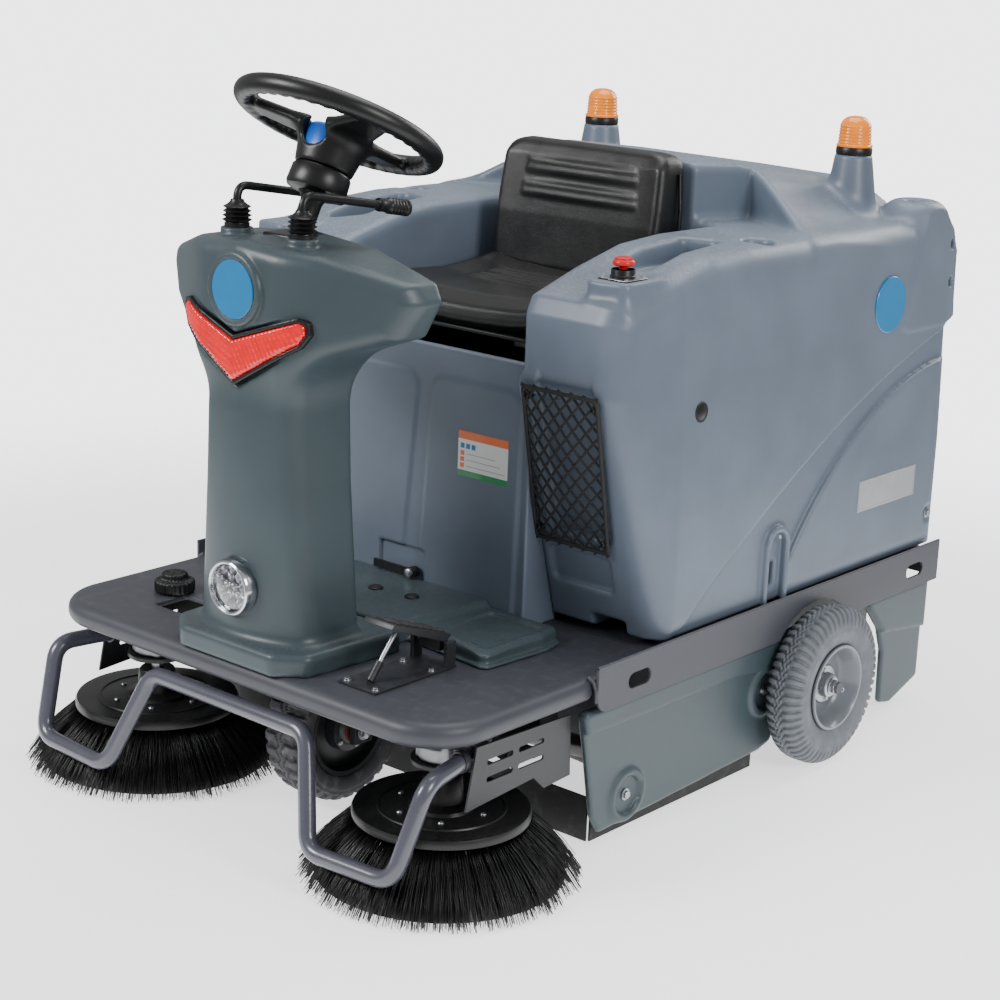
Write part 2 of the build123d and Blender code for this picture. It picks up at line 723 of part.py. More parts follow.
def fan_housing():
    """The suction fan's casing and motor above the filter."""
    case = bar_z(fan_z - 60, fan_z + 50, 0, fan_y, 150) - bar_z(fan_z - 54, fan_z + 44, 0, fan_y, 143)
    case = case - bar_z(fan_z - 70, fan_z - 50, 0, fan_y, 70)
    case = case + bar_z(fan_z + 50, fan_z + 170, 0, fan_y, 62)
    case = case - bar_z(fan_z + 20, fan_z + 100, 0, fan_y, 10 + run_gap)
    duct = bar_z(deck_top + 70 + seam, fan_z - 60, 0, fan_y, 90)
    duct = duct - bar_z(deck_top + 60, fan_z - 50, 0, fan_y, 84)
    return case + duct - bar_z(fan_z - 70, fan_z - 50, 0, fan_y, 70)


def fan_impeller():
    """The suction fan's bladed wheel and shaft."""
    wheel = bar_z(fan_z + 20, fan_z + 26, 0, fan_y, 120) + bar_z(fan_z - 30, fan_z + 90, 0, fan_y, 10)
    for k in range(9):
        blade = Rot(0, 0, k * 40) * (Pos(72, 0, 0) * Rot(0, 0, 28) * Box(80, 4, 46))
        wheel = wheel + Pos(0, fan_y, fan_z - 2) * blade
    return wheel


def battery_pack():
    """Four lead-acid batteries in the bay below the seat."""
    cells = []
    for x in (-125, 125):
        for y in (-85, 120):
            cell = block(x - 118, x + 118, y - 95, y + 95, deck_top + seam, deck_top + 275)
            posts = [bar_z(deck_top + 274, deck_top + 288, x + dx, y, 9) for dx in (-85, 85)]
            cells.append(cell + posts[0] + posts[1])
    return cells


def drive_controller():
    """The travel drive's controller with its cooling fins."""
    case = block(-80, 80, 232, 284, 660, 830)
    for k in range(7):
        case = case - block(-72 + 22 * k, -62 + 22 * k, 270, 285, 655, 835)
    return case


# ---------------------------------------------------------------- controls
pedal_y = -499.0
pedal_z = deck_top + 42.0


def pedal_base():
    """The pedal's base plate with its hinge lugs."""
    base = block(222, 312, -696, -484, deck_top + seam, deck_top + 5)
    for x in (222, 304):
        base = base + block(x, x + 8, pedal_y - 12, pedal_y + 12, deck_top + 4, pedal_z + 10)
    pin = bar_x(224, 310, pedal_y, pedal_z, 5)
    return base + pin


def accelerator_pedal():
    """The tread plate that is pressed by the right or left foot."""
    side = [(pedal_y - 4, pedal_z + 8), (pedal_y + 10, pedal_z + 20),
            (-640, pedal_z + 72), (-646, pedal_z + 64)]
    tread = prism_x(side, 232, 302)
    lug = block(242, 292, pedal_y - 10, pedal_y + 10, pedal_z - 10, pedal_z + 16)
    return tread + lug - bar_x(220, 320, pedal_y, pedal_z, 5 + run_gap)


lever_x = 82.0
lever_y = -663.0
lever_z = 1096.0


def lever(x):
    """A bent hand lever with its grip."""
    path = FilletPolyline((x, lever_y, lever_z), (x, lever_y, 1184), (x, -400, 1140), radius=22)
    rod = sweep(Plane((x, lever_y, lever_z), z_dir=(0, 0, 1)) * Circle(6), path=path)
    grip_from = Vector(x, -510, 1184 - 44 * (153 / 263))
    grip_dir = (Vector(x, -400, 1140) - Vector(x, lever_y, 1184)).normalized()
    grip = extrude(Plane(grip_from, z_dir=grip_dir) * Circle(11), 112)
    ball = Pos(x, lever_y, lever_z) * Sphere(12)
    return rod + grip + ball


def lever_boot(x):
    """The ribbed bellows at the foot of a lever."""
    z0 = head_top + 6
    boot = bar_z(z0, z0 + 6, x, lever_y, 20) + cone_z(z0 + 6, z0 + 42, x, lever_y, 19, 12)
    return boot - bar_z(z0 - 2, z0 + 50, x, lever_y, 6 + seam)


park_x = -14.0
park_z = 399.0


def parking_lever():
    """The black release lever in the recess of the seat panel."""
    arm = block(-112, -2, -262, -256, park_z - 8, park_z + 8)
    boss = bar_y(-262, -244, park_x, park_z, 11)
    return arm + boss - bar_y(-270, -230, park_x, park_z, 5 + run_gap)


def fasteners():
    """The visible bolts: pivot bolt, skirt bolts and guard bolts."""
    pivot = bar_y(-269, -237.5, park_x, park_z, 5) + bar_y(-269, -262.5, park_x, park_z, 9)
    bolts = [pivot]
    for y, z in skirt_bolts:
        bolt = bar_x(skirt_out - 8 + seam, skirt_out - 2, y, z, 11)
        bolts += both_sides(bolt)
    latch = bar_x(body_half_w, body_half_w + 5, 827, 435, 9)
    bolts += both_sides(latch)
    return bolts


nodes["front_deck"] = front_deck()
nodes["chassis_frame"] = chassis_frame()
nodes["rubber_flaps"] = rubber_flaps()
skirt_left = skirt()
nodes["skirt_left"] = skirt_left
nodes["skirt_right"] = mirrored(skirt_left)
nodes["bumper_tube"] = bumper_tube()
nodes["body_shell"] = body_shell()
nodes["seat_panel"] = seat_panel()
nodes["net_pocket"] = net_pocket()
nodes["label_plates"] = label_plates()
nodes["beacon_collars"] = beacon_collars()
nodes["beacon_lenses"] = beacon_lenses()
nodes["emergency_stop_base"] = emergency_stop_base()
nodes["emergency_stop_button"] = emergency_stop_button()
nodes["seat_rails"] = seat_rails()
nodes["seat_pan"] = seat_pan()
nodes["seat_cushion"] = seat_cushion()
nodes["seat_backrest"] = seat_backrest()
nodes["front_column"] = front_column()
nodes["headlight_bezel"] = headlight_bezel()
nodes["headlight_lens"] = headlight_lens()
nodes["chevron_lamp"] = chevron_lamp()
nodes["tunnel_cover"] = tunnel_cover()
nodes["steering_wheel"] = steering_wheel()
nodes["steering_wheel_cap"] = steering_wheel_cap()
nodes["steering_shaft"] = steering_shaft()
nodes["steering_gearbox"] = steering_gearbox()
nodes["steering_drop_shaft"] = steering_drop_shaft()
nodes["steering_chain"] = steering_chain()
nodes["steering_fork"] = steering_fork()
nodes["front_hub_motor"] = front_hub_motor()
nodes["front_tyre"] = front_tyre()
for side, place in (("left", lambda part: part), ("right", mirrored)):
    nodes["rear_tyre_" + side] = place(rear_tyre())
    nodes["rear_rim_" + side] = place(rear_rim())
    nodes["brush_arm_" + side] = place(brush_arm())
    nodes["brush_motor_" + side] = place(brush_motor())
    nodes["side_brush_disc_" + side] = place(side_brush_disc())
    nodes["side_bristles_" + side] = place(side_bristles())
nodes["deck_brackets"] = brush_pivots() + both_sides(bumper_clamp())
nodes["main_brush"] = main_brush()
nodes["brush_housing"] = brush_housing()
nodes["main_brush_motor"] = main_brush_motor()
nodes["dust_hopper"] = dust_hopper()
nodes["filter_panel"] = filter_panel()
nodes["fan_housing"] = fan_housing()
nodes["fan_impeller"] = fan_impeller()
nodes["battery_pack"] = battery_pack()
nodes["drive_controller"] = drive_controller()
nodes["pedal_base"] = pedal_base()
nodes["accelerator_pedal"] = accelerator_pedal()
for side, x in (("left", lever_x), ("right", -lever_x)):
    nodes["lever_" + side] = [lever(x), lever_boot(x)]
nodes["parking_lever"] = parking_lever()
nodes["fasteners"] = fasteners()

os.makedirs("parts", exist_ok=True)
for name, shape in nodes.items():
    solids = shape if isinstance(shape, list) else [shape]
    flat = [solid for item in solids for solid in item.solids()]
    export_step(Compound(children=flat) if len(flat) > 1 else flat[0], "parts/" + name + ".step")
print(len(nodes), "nodes")
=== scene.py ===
"""Ride-on floor sweeper: the visible pieces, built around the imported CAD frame."""
import logging
import math
from dataclasses import dataclass, field
from enum import Enum
from typing import Any, Callable, Sequence

import bmesh
import bpy
import numpy as np
from mathutils import Matrix, Vector


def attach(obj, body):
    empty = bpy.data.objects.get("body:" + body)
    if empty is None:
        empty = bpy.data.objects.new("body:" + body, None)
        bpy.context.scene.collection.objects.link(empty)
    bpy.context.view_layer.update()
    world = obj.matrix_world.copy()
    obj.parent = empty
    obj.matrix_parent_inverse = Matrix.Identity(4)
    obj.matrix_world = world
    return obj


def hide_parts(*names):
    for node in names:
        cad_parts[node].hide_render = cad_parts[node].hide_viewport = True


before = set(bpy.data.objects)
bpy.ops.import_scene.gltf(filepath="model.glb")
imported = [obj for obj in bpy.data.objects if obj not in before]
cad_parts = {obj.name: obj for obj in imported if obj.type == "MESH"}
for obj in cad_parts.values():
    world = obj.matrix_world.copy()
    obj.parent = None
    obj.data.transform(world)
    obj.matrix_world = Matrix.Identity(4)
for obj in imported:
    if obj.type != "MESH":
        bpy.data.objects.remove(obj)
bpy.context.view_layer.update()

LOG = logging.getLogger("sweeper")
NODES: dict[str, bpy.types.Object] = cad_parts
COARSE = 1.0
CONSOLE_FOOT = (-0.146, 0.343)
CONSOLE_LEAN = 0.137 / 0.487
Array = np.ndarray
Point = tuple[float, float, float]


# ------------------------------------------------------------------ moulded solids as distance fields
@dataclass(frozen=True)
class Field:
    """A moulded solid as a signed distance in metres, negative inside."""

    at: Callable[[Array, Array, Array], Array]

    def __or__(self, other: "Field") -> "Field":
        """Both solids together, with a sharp seam."""
        return Field(lambda x, y, z: np.minimum(self.at(x, y, z), other.at(x, y, z)))

    def __and__(self, other: "Field") -> "Field":
        """What the two solids share."""
        return Field(lambda x, y, z: np.maximum(self.at(x, y, z), other.at(x, y, z)))

    def __sub__(self, other: "Field") -> "Field":
        """This solid with the other one cut out of it."""
        return Field(lambda x, y, z: np.maximum(self.at(x, y, z), -other.at(x, y, z)))

    def blend(self, other: "Field", radius: float) -> "Field":
        """Both solids together, with a hollow fillet between them.

        Args:
            other: the solid to add.
            radius: about how wide the fillet is.

        Returns:
            The joined solid.
        """
        return Field(lambda x, y, z: soft_min(self.at(x, y, z), other.at(x, y, z), radius))

    def carve(self, other: "Field", radius: float) -> "Field":
        """This solid with the other cut out and the new edge rounded.

        Args:
            other: the solid to cut away.
            radius: about how wide the rounding is.

        Returns:
            The cut solid.
        """
        return Field(lambda x, y, z: -soft_min(-self.at(x, y, z), other.at(x, y, z), radius))

    def trim(self, other: "Field", radius: float) -> "Field":
        """What the two solids share, with the new edge rounded."""
        return Field(lambda x, y, z: -soft_min(-self.at(x, y, z), -other.at(x, y, z), radius))

    def twin(self) -> "Field":
        """The solid and its mirror image, for a shape drawn on the left side."""
        return Field(lambda x, y, z: self.at(np.abs(x), y, z))

    def placed(self, matrix: Matrix) -> "Field":
        """The solid moved by a rigid transform."""
        inverse = np.array(matrix.inverted())

        def at(x: Array, y: Array, z: Array) -> Array:
            local = [inverse[i, 0] * x + inverse[i, 1] * y + inverse[i, 2] * z + inverse[i, 3]
                for i in range(3)]
            return self.at(*local)

        return Field(at)


def soft_min(a: Array, b: Array, radius: float) -> Array:
    """The smaller of two distances, rounded where they meet."""
    meet = np.maximum(radius - np.abs(a - b), 0.0) / radius
    return np.minimum(a, b) - meet * meet * radius * 0.25


def slab(x0: float, x1: float, y0: float, y1: float, z0: float, z1: float,
        rounding: float = 0.002) -> Field:
    """A box with rounded edges, from its six faces."""

    def at(x: Array, y: Array, z: Array) -> Array:
        qx = np.abs(x - (x0 + x1) / 2) - (x1 - x0) / 2 + rounding
        qy = np.abs(y - (y0 + y1) / 2) - (y1 - y0) / 2 + rounding
        qz = np.abs(z - (z0 + z1) / 2) - (z1 - z0) / 2 + rounding
        out = np.sqrt(np.maximum(qx, 0) ** 2 + np.maximum(qy, 0) ** 2 + np.maximum(qz, 0) ** 2)
        return out + np.minimum(np.maximum(np.maximum(qx, qy), qz), 0) - rounding

    return Field(at)


def rod(axis: str, centre: Sequence[float], radius: float, low: float, high: float, rounding: float = 0.001,
        end_radius: float | None = None) -> Field:
    """A round bar or cone along X, Y or Z.

    Args:
        axis: the letter of the bar's axis.
        centre: where the axis passes, on the other two axes in order.
        radius: the radius at the low end.
        low: where the bar starts.
        high: where it ends.
        rounding: the rounding of its rims.
        end_radius: the radius at the high end, for a cone.

    Returns:
        The bar.
    """
    last = radius if end_radius is None else end_radius

    def at(x: Array, y: Array, z: Array) -> Array:
        along, a, b = {"x": (x, y, z), "y": (y, x, z), "z": (z, x, y)}[axis]
        share = np.clip((along - low) / (high - low), 0, 1)
        side = np.hypot(a - centre[0], b - centre[1]) - (radius + (last - radius) * share) + rounding
        end = np.abs(along - (low + high) / 2) - (high - low) / 2 + rounding
        outside = np.hypot(np.maximum(side, 0), np.maximum(end, 0))
        return outside + np.minimum(np.maximum(side, end), 0) - rounding

    return Field(at)


def inset(points: Sequence[tuple[float, float]], amount: float) -> list[tuple[float, float]]:
    """A closed outline drawn in by an amount, corner by corner."""
    area = sum(a[0] * b[1] - b[0] * a[1] for a, b in zip(points, list(points[1:]) + [points[0]]))
    turn = 1.0 if area > 0 else -1.0
    result = []
    for before, here, after in zip([points[-1]] + list(points[:-1]), points,
            list(points[1:]) + [points[0]]):
        d0 = np.array(here) - np.array(before)
        d1 = np.array(after) - np.array(here)
        n0 = turn * np.array([-d0[1], d0[0]]) / np.hypot(*d0)
        n1 = turn * np.array([-d1[1], d1[0]]) / np.hypot(*d1)
        step = (n0 + n1) / (1.0 + n0 @ n1)
        result.append((here[0] + amount * step[0], here[1] + amount * step[1]))
    return result


def outline_distance(points: Sequence[tuple[float, float]], u: Array, v: Array) -> Array:
    """The signed distance to a closed flat outline."""
    best = None
    inside = None
    for (ax, ay), (bx, by) in zip(points, list(points[1:]) + [points[0]]):
        ex, ey = bx - ax, by - ay
        wu, wv = u - ax, v - ay
        t = np.clip((wu * ex + wv * ey) / (ex * ex + ey * ey), 0, 1)
        gap = (wu - ex * t) ** 2 + (wv - ey * t) ** 2
        best = gap if best is None else np.minimum(best, gap)
        crossing = ((ay <= v) != (by <= v)) & (((by - ay) > 0) == ((ex * wv - ey * wu) > 0))
        inside = crossing if inside is None else inside ^ crossing
    return np.where(inside, -1.0, 1.0) * np.sqrt(best)


def prism(axis: str, points: Sequence[tuple[float, float]], low: float, high: float, corner: float = 0.004,
        edge: float = 0.004) -> Field:
    """A flat outline drawn out along an axis, with round corners and round edges.

    Args:
        axis: the letter of the direction it is drawn along.
        points: the outline on the other two axes in order.
        low: where it starts.
        high: where it ends.
        corner: the radius of the outline's corners.
        edge: the radius of the edges at both ends.

    Returns:
        The solid.
    """
    shrunk = inset(points, corner)

    def at(x: Array, y: Array, z: Array) -> Array:
        along, u, v = {"x": (x, y, z), "y": (y, x, z), "z": (z, x, y)}[axis]
        flat = outline_distance(shrunk, u, v) - corner + edge
        end = np.abs(along - (low + high) / 2) - (high - low) / 2 + edge
        outside = np.hypot(np.maximum(flat, 0), np.maximum(end, 0))
        return outside + np.minimum(np.maximum(flat, end), 0) - edge

    return Field(at)


def capsule_slot(axis: str, a: tuple[float, float], b: tuple[float, float], radius: float, low: float,
        high: float) -> Field:
    """A slot-shaped plug along an axis, from one round end to the other."""

    def at(x: Array, y: Array, z: Array) -> Array:
        along, u, v = {"x": (x, y, z), "y": (y, x, z), "z": (z, x, y)}[axis]
        ex, ey = b[0] - a[0], b[1] - a[1]
        t = np.clip(((u - a[0]) * ex + (v - a[1]) * ey) / (ex * ex + ey * ey), 0, 1)
        flat = np.hypot(u - a[0] - ex * t, v - a[1] - ey * t) - radius
        return np.maximum(flat, np.abs(along - (low + high) / 2) - (high - low) / 2)

    return Field(at)


def surface_nets(solid: Field, low: Point, high: Point, step: float) -> tuple[Array, Array]:
    """Turns a field into vertices and four-sided faces that lie on its skin.

    Args:
        solid: the field.
        low: the lowest corner of the space to search.
        high: its highest corner.
        step: the size of a cell.

    Returns:
        The vertices and the faces, which point outwards.
    """
    counts = [max(3, int(math.ceil((b - a) / step)) + 3) for a, b in zip(low, high)]
    ticks = [(a - step + step * np.arange(n)).astype(np.float32) for a, n in zip(low, counts)]
    value = np.broadcast_to(solid.at(ticks[0][:, None, None], ticks[1][None, :, None],
        ticks[2][None, None, :]), counts).astype(np.float32)
    inside = value < 0
    corners = [(i, j, k) for i in (0, 1) for j in (0, 1) for k in (0, 1)]
    cells = [n - 1 for n in counts]

    def corner(grid: Array, c: tuple[int, int, int]) -> Array:
        return grid[c[0]:c[0] + cells[0], c[1]:c[1] + cells[1], c[2]:c[2] + cells[2]]

    full = np.zeros(cells, np.uint8)
    for c in corners:
        full += corner(inside, c)
    active = np.nonzero((full > 0) & (full < 8))
    total = np.zeros((len(active[0]), 3))
    weight = np.zeros(len(active[0]))
    for a in corners:
        for axis in range(3):
            if a[axis]:
                continue
            b = tuple(1 if i == axis else a[i] for i in range(3))
            va = corner(value, a)[active].astype(float)
            vb = corner(value, b)[active].astype(float)
            cross = (va < 0) != (vb < 0)
            share = np.where(cross, va / np.where(cross, va - vb, 1), 0)
            spot = np.array(a, float)[None, :] + share[:, None] * np.eye(3)[axis]
            total += np.where(cross[:, None], spot, 0)
            weight += cross
    verts = (np.stack(active, 1) + total / weight[:, None]) * step + np.array([t[0] for t in ticks])
    index = np.full(cells, -1, np.int64)
    index[active] = np.arange(len(active[0]))
    faces = []
    for axis in range(3):
        u, v = [(1, 2), (2, 0), (0, 1)][axis]
        start = [slice(1, n - 1) for n in cells]
        start[axis] = slice(0, cells[axis])
        here = inside[tuple(start)]
        ahead = [slice(s.start, s.stop) for s in start]
        ahead[axis] = slice(1, cells[axis] + 1)
        there = inside[tuple(ahead)]
        edge = np.array(np.nonzero(here != there)).T + np.array([s.start for s in start])
        leaving = inside[tuple(edge.T)]
        du, dv = np.eye(3, dtype=int)[u], np.eye(3, dtype=int)[v]
        quad = np.stack([index[tuple((edge - du - dv).T)], index[tuple((edge - dv).T)],
            index[tuple(edge.T)], index[tuple((edge - du).T)]], 1)
        quad[~leaving] = quad[~leaving][:, ::-1]
        faces.append(quad)
    return settle(solid, verts, step), np.concatenate(faces)


def settle(solid: Field, verts: Array, step: float, rounds: int = 3) -> Array:
    """Moves vertices onto the field's skin along its slope."""
    verts = verts.copy()
    h = step * 0.2
    for _ in range(rounds):
        x, y, z = verts.T
        here = solid.at(x, y, z)
        slope = np.stack([solid.at(x + h, y, z) - solid.at(x - h, y, z), solid.at(x, y + h, z) - solid.at(x,
            y - h, z), solid.at(x, y, z + h) - solid.at(x, y, z - h)], 1) / (2 * h)
        size = np.maximum((slope ** 2).sum(1), 0.25)
        move = -slope * (here / size)[:, None]
        length = np.linalg.norm(move, axis=1)
        move *= np.minimum(1, step * 0.5 / np.maximum(length, 1e-9))[:, None]
        verts += move
    return verts


# ------------------------------------------------------------------ meshes
def new_piece(name: str, verts: Any, faces: Any, smooth: bool = True) -> bpy.types.Object:
    """Makes a mesh object in the row frame.

    Args:
        name: the piece's name.
        verts: its points in metres.
        faces: its faces, as lists of indices.
        smooth: whether its faces are shaded smooth.

    Returns:
        The object, linked to the scene.
    """
    mesh = bpy.data.meshes.new(name)
    mesh.from_pydata([tuple(v) for v in np.asarray(verts, float).tolist()], [],
        faces.tolist() if isinstance(faces, np.ndarray) else [list(f) for f in faces])
    mesh.polygons.foreach_set("use_smooth", [smooth] * len(mesh.polygons))
    mesh.update()
    piece = bpy.data.objects.new(name, mesh)
    bpy.context.scene.collection.objects.link(piece)
    return piece


def moulded(name: str, solid: Field, low: Point, high: Point, step: float) -> bpy.types.Object:
    """Makes a smooth moulded piece from a field.

    Args:
        name: the piece's name.
        solid: its field.
        low: the lowest corner of its box.
        high: the highest corner.
        step: the size of its mesh's cells.

    Returns:
        The object.
    """
    verts, faces = surface_nets(solid, low, high, step * COARSE)
    return new_piece(name, verts, faces)


def join(name: str, pieces: Sequence[bpy.types.Object]) -> bpy.types.Object:
    """Joins several mesh objects into one new object and removes them."""
    whole = bmesh.new()
    materials: list[bpy.types.Material | None] = []
    for piece in pieces:
        offset = len(whole.faces)
        slots = []
        for material in (piece.data.materials[:] or [None]):
            if material not in materials:
                materials.append(material)
            slots.append(materials.index(material))
        whole.from_mesh(piece.data)
        whole.faces.ensure_lookup_table()
        for face in whole.faces[offset:]:
            face.material_index = slots[min(face.material_index, len(slots) - 1)]
    mesh = bpy.data.meshes.new(name)
    whole.to_mesh(mesh)
    whole.free()
    for material in materials:
        if material is not None:
            mesh.materials.append(material)
    for piece in pieces:
        bpy.data.objects.remove(piece)
    result = bpy.data.objects.new(name, mesh)
    bpy.context.scene.collection.objects.link(result)
    return result


def revolve(name: str, profile: Sequence[tuple[float, float]], axis: str, centre: Point, segments: int = 64,
        closed: bool = False, sharp_deg: float = 35.0) -> bpy.types.Object:
    """Turns a profile about an axis.

    Args:
        name: the piece's name.
        profile: (radius, place along the axis) pairs.
        axis: the letter of the axis.
        centre: a point on the axis, which the profile's places count from.
        segments: steps around.
        closed: whether the profile closes on itself, as a ring's does.
        sharp_deg: edges that turn more than this are kept sharp.

    Returns:
        The object.
    """
    n = len(profile)
    turns = np.arange(segments) * 2 * math.pi / segments
    order = {"x": (1, 2, 0), "y": (2, 0, 1), "z": (0, 1, 2)}[axis]
    verts = np.zeros((segments * n, 3))
    radii = np.array([p[0] for p in profile])
    places = np.array([p[1] for p in profile])
    verts[:, order[0]] = (np.cos(turns)[:, None] * radii[None, :]).ravel() + centre[order[0]]
    verts[:, order[1]] = (np.sin(turns)[:, None] * radii[None, :]).ravel() + centre[order[1]]
    verts[:, order[2]] = np.tile(places, segments) + centre[order[2]]
    faces = []
    for i in range(segments):
        k = (i + 1) % segments
        for j in range(n if closed else n - 1):
            m = (j + 1) % n
            faces.append([i * n + j, k * n + j, k * n + m, i * n + m])
    piece = new_piece(name, verts, faces)
    mesh = bmesh.new()
    mesh.from_mesh(piece.data)
    bmesh.ops.remove_doubles(mesh, verts=mesh.verts, dist=1e-6)
    if not closed:
        bmesh.ops.holes_fill(mesh, edges=mesh.edges, sides=segments + 1)
    bmesh.ops.dissolve_degenerate(mesh, edges=mesh.edges, dist=1e-7)
    bmesh.ops.recalc_face_normals(mesh, faces=mesh.faces)
    keep_sharp(mesh, sharp_deg)
    mesh.to_mesh(piece.data)
    mesh.free()
    return piece


def keep_sharp(mesh: bmesh.types.BMesh, angle_deg: float) -> None:
    """Shades a mesh smooth but keeps edges sharp that turn more than an angle."""
    limit = math.radians(angle_deg)
    for face in mesh.faces:
        face.smooth = True
    for edge in mesh.edges:
        if len(edge.link_faces) == 2:
            edge.smooth = edge.calc_face_angle(0.0) < limit


def bevelled(name: str, piece: bpy.types.Object, width: float, segments: int = 2,
        angle_deg: float = 35.0) -> bpy.types.Object:
    """Rounds a piece's hard edges and shades it.

    Args:
        name: the piece's new name.
        piece: a closed mesh object.
        width: the width of the bevel.
        segments: its steps.
        angle_deg: edges that turn less than this stay as they are.

    Returns:
        The same object.
    """
    mesh = bmesh.new()
    mesh.from_mesh(piece.data)
    bmesh.ops.remove_doubles(mesh, verts=mesh.verts, dist=1e-6)
    bmesh.ops.recalc_face_normals(mesh, faces=mesh.faces)
    bmesh.ops.dissolve_limit(mesh, angle_limit=math.radians(1.0), verts=mesh.verts, edges=mesh.edges)
    limit = math.radians(angle_deg)
    hard = [e for e in mesh.edges if len(e.link_faces) == 2 and e.calc_face_angle(0.0) > limit]
    bmesh.ops.bevel(mesh, geom=hard, offset=width, segments=segments, profile=0.5, affect="EDGES",
        clamp_overlap=True)
    keep_sharp(mesh, 60.0)
    curved = math.radians(1), math.radians(20)
    for face in mesh.faces:
        turns = [e.calc_face_angle(0.0) for e in face.edges if len(e.link_faces) == 2]
        face.smooth = face.calc_area() < (6 * width) ** 2 or any(curved[0] < t < curved[1] for t in turns)
    mesh.to_mesh(piece.data)
    mesh.free()
    piece.name = name
    piece.data.name = name
    return piece


def from_cad(name: str, node: str, width: float, segments: int = 2) -> bpy.types.Object:
    """A merged and bevelled copy of a CAD node's mesh."""
    copy = bpy.data.objects.new(name, NODES[node].data.copy())
    copy.data.materials.clear()
    bpy.context.scene.collection.objects.link(copy)
    return bevelled(name, copy, width, segments)


def box_piece(name: str, low: Point, high: Point, width: float = 0.0015) -> bpy.types.Object:
    """A small bevelled block."""
    mesh = bmesh.new()
    bmesh.ops.create_cube(mesh, size=1.0)
    size = Vector(high) - Vector(low)
    middle = (Vector(high) + Vector(low)) / 2
    bmesh.ops.transform(mesh, matrix=Matrix.Translation(middle) @ Matrix.Diagonal((*size, 1)),
        verts=mesh.verts)
    data = bpy.data.meshes.new(name)
    mesh.to_mesh(data)
    mesh.free()
    piece = bpy.data.objects.new(name, data)
    bpy.context.scene.collection.objects.link(piece)
    return bevelled(name, piece, width)


def tube(name: str, points: Sequence[Point], radius: float, corner: float = 0.0, sides: int = 20,
        closed: bool = False) -> bpy.types.Object:
    """A round tube along straight runs with rounded corners.

    Args:
        name: the piece's name.
        points: the corners of its path.
        radius: the tube's radius.
        corner: the bend radius.
        sides: faces around.
        closed: whether the path is a ring.

    Returns:
        The object.
    """
    path = rounded_path([Vector(p) for p in points], corner, closed)
    count = len(path)
    frames = []
    side = None
    for i, point in enumerate(path):
        ahead = path[(i + 1) % count] if closed or i < count - 1 else path[i]
        behind = path[i - 1] if closed or i > 0 else path[i]
        tangent = (ahead - behind).normalized()
        if side is None:
            side = tangent.orthogonal().normalized()
        side = (side - tangent * side.dot(tangent)).normalized()
        frames.append((point, side.copy(), tangent.cross(side)))
    verts = [p + (a * math.cos(t) + b * math.sin(t)) * radius for p, a, b in frames
        for t in (2 * math.pi * k / sides for k in range(sides))]
    faces = []
    for i in range(count if closed else count - 1):
        j = (i + 1) % count
        faces += [[i * sides + k, i * sides + (k + 1) % sides, j * sides + (k + 1) % sides, j * sides + k]
            for k in range(sides)]
    if not closed:
        faces += [list(range(sides))[::-1], [(count - 1) * sides + k for k in range(sides)]]
    piece = new_piece(name, verts, faces)
    mesh = bmesh.new()
    mesh.from_mesh(piece.data)
    bmesh.ops.recalc_face_normals(mesh, faces=mesh.faces)
    keep_sharp(mesh, 50.0)
    mesh.to_mesh(piece.data)
    mesh.free()
    return piece


def rounded_path(points: list[Vector], corner: float, closed: bool = False, steps: int = 8) -> list[Vector]:
    """A path with its corners turned into arcs."""
    if corner <= 0:
        return points
    count = len(points)
    path: list[Vector] = []
    for i, here in enumerate(points):
        if not closed and i in (0, count - 1):
            path.append(here)
            continue
        before = points[i - 1] - here
        after = points[(i + 1) % count] - here
        half = before.angle(after) / 2
        reach = min(corner / math.tan(half), before.length * 0.49, after.length * 0.49)
        a = here + before.normalized() * reach
        b = here + after.normalized() * reach
        for k in range(steps + 1):
            t = k / steps
            path.append(a * (1 - t) ** 2 + here * (2 * t * (1 - t)) + b * t * t)
    return path


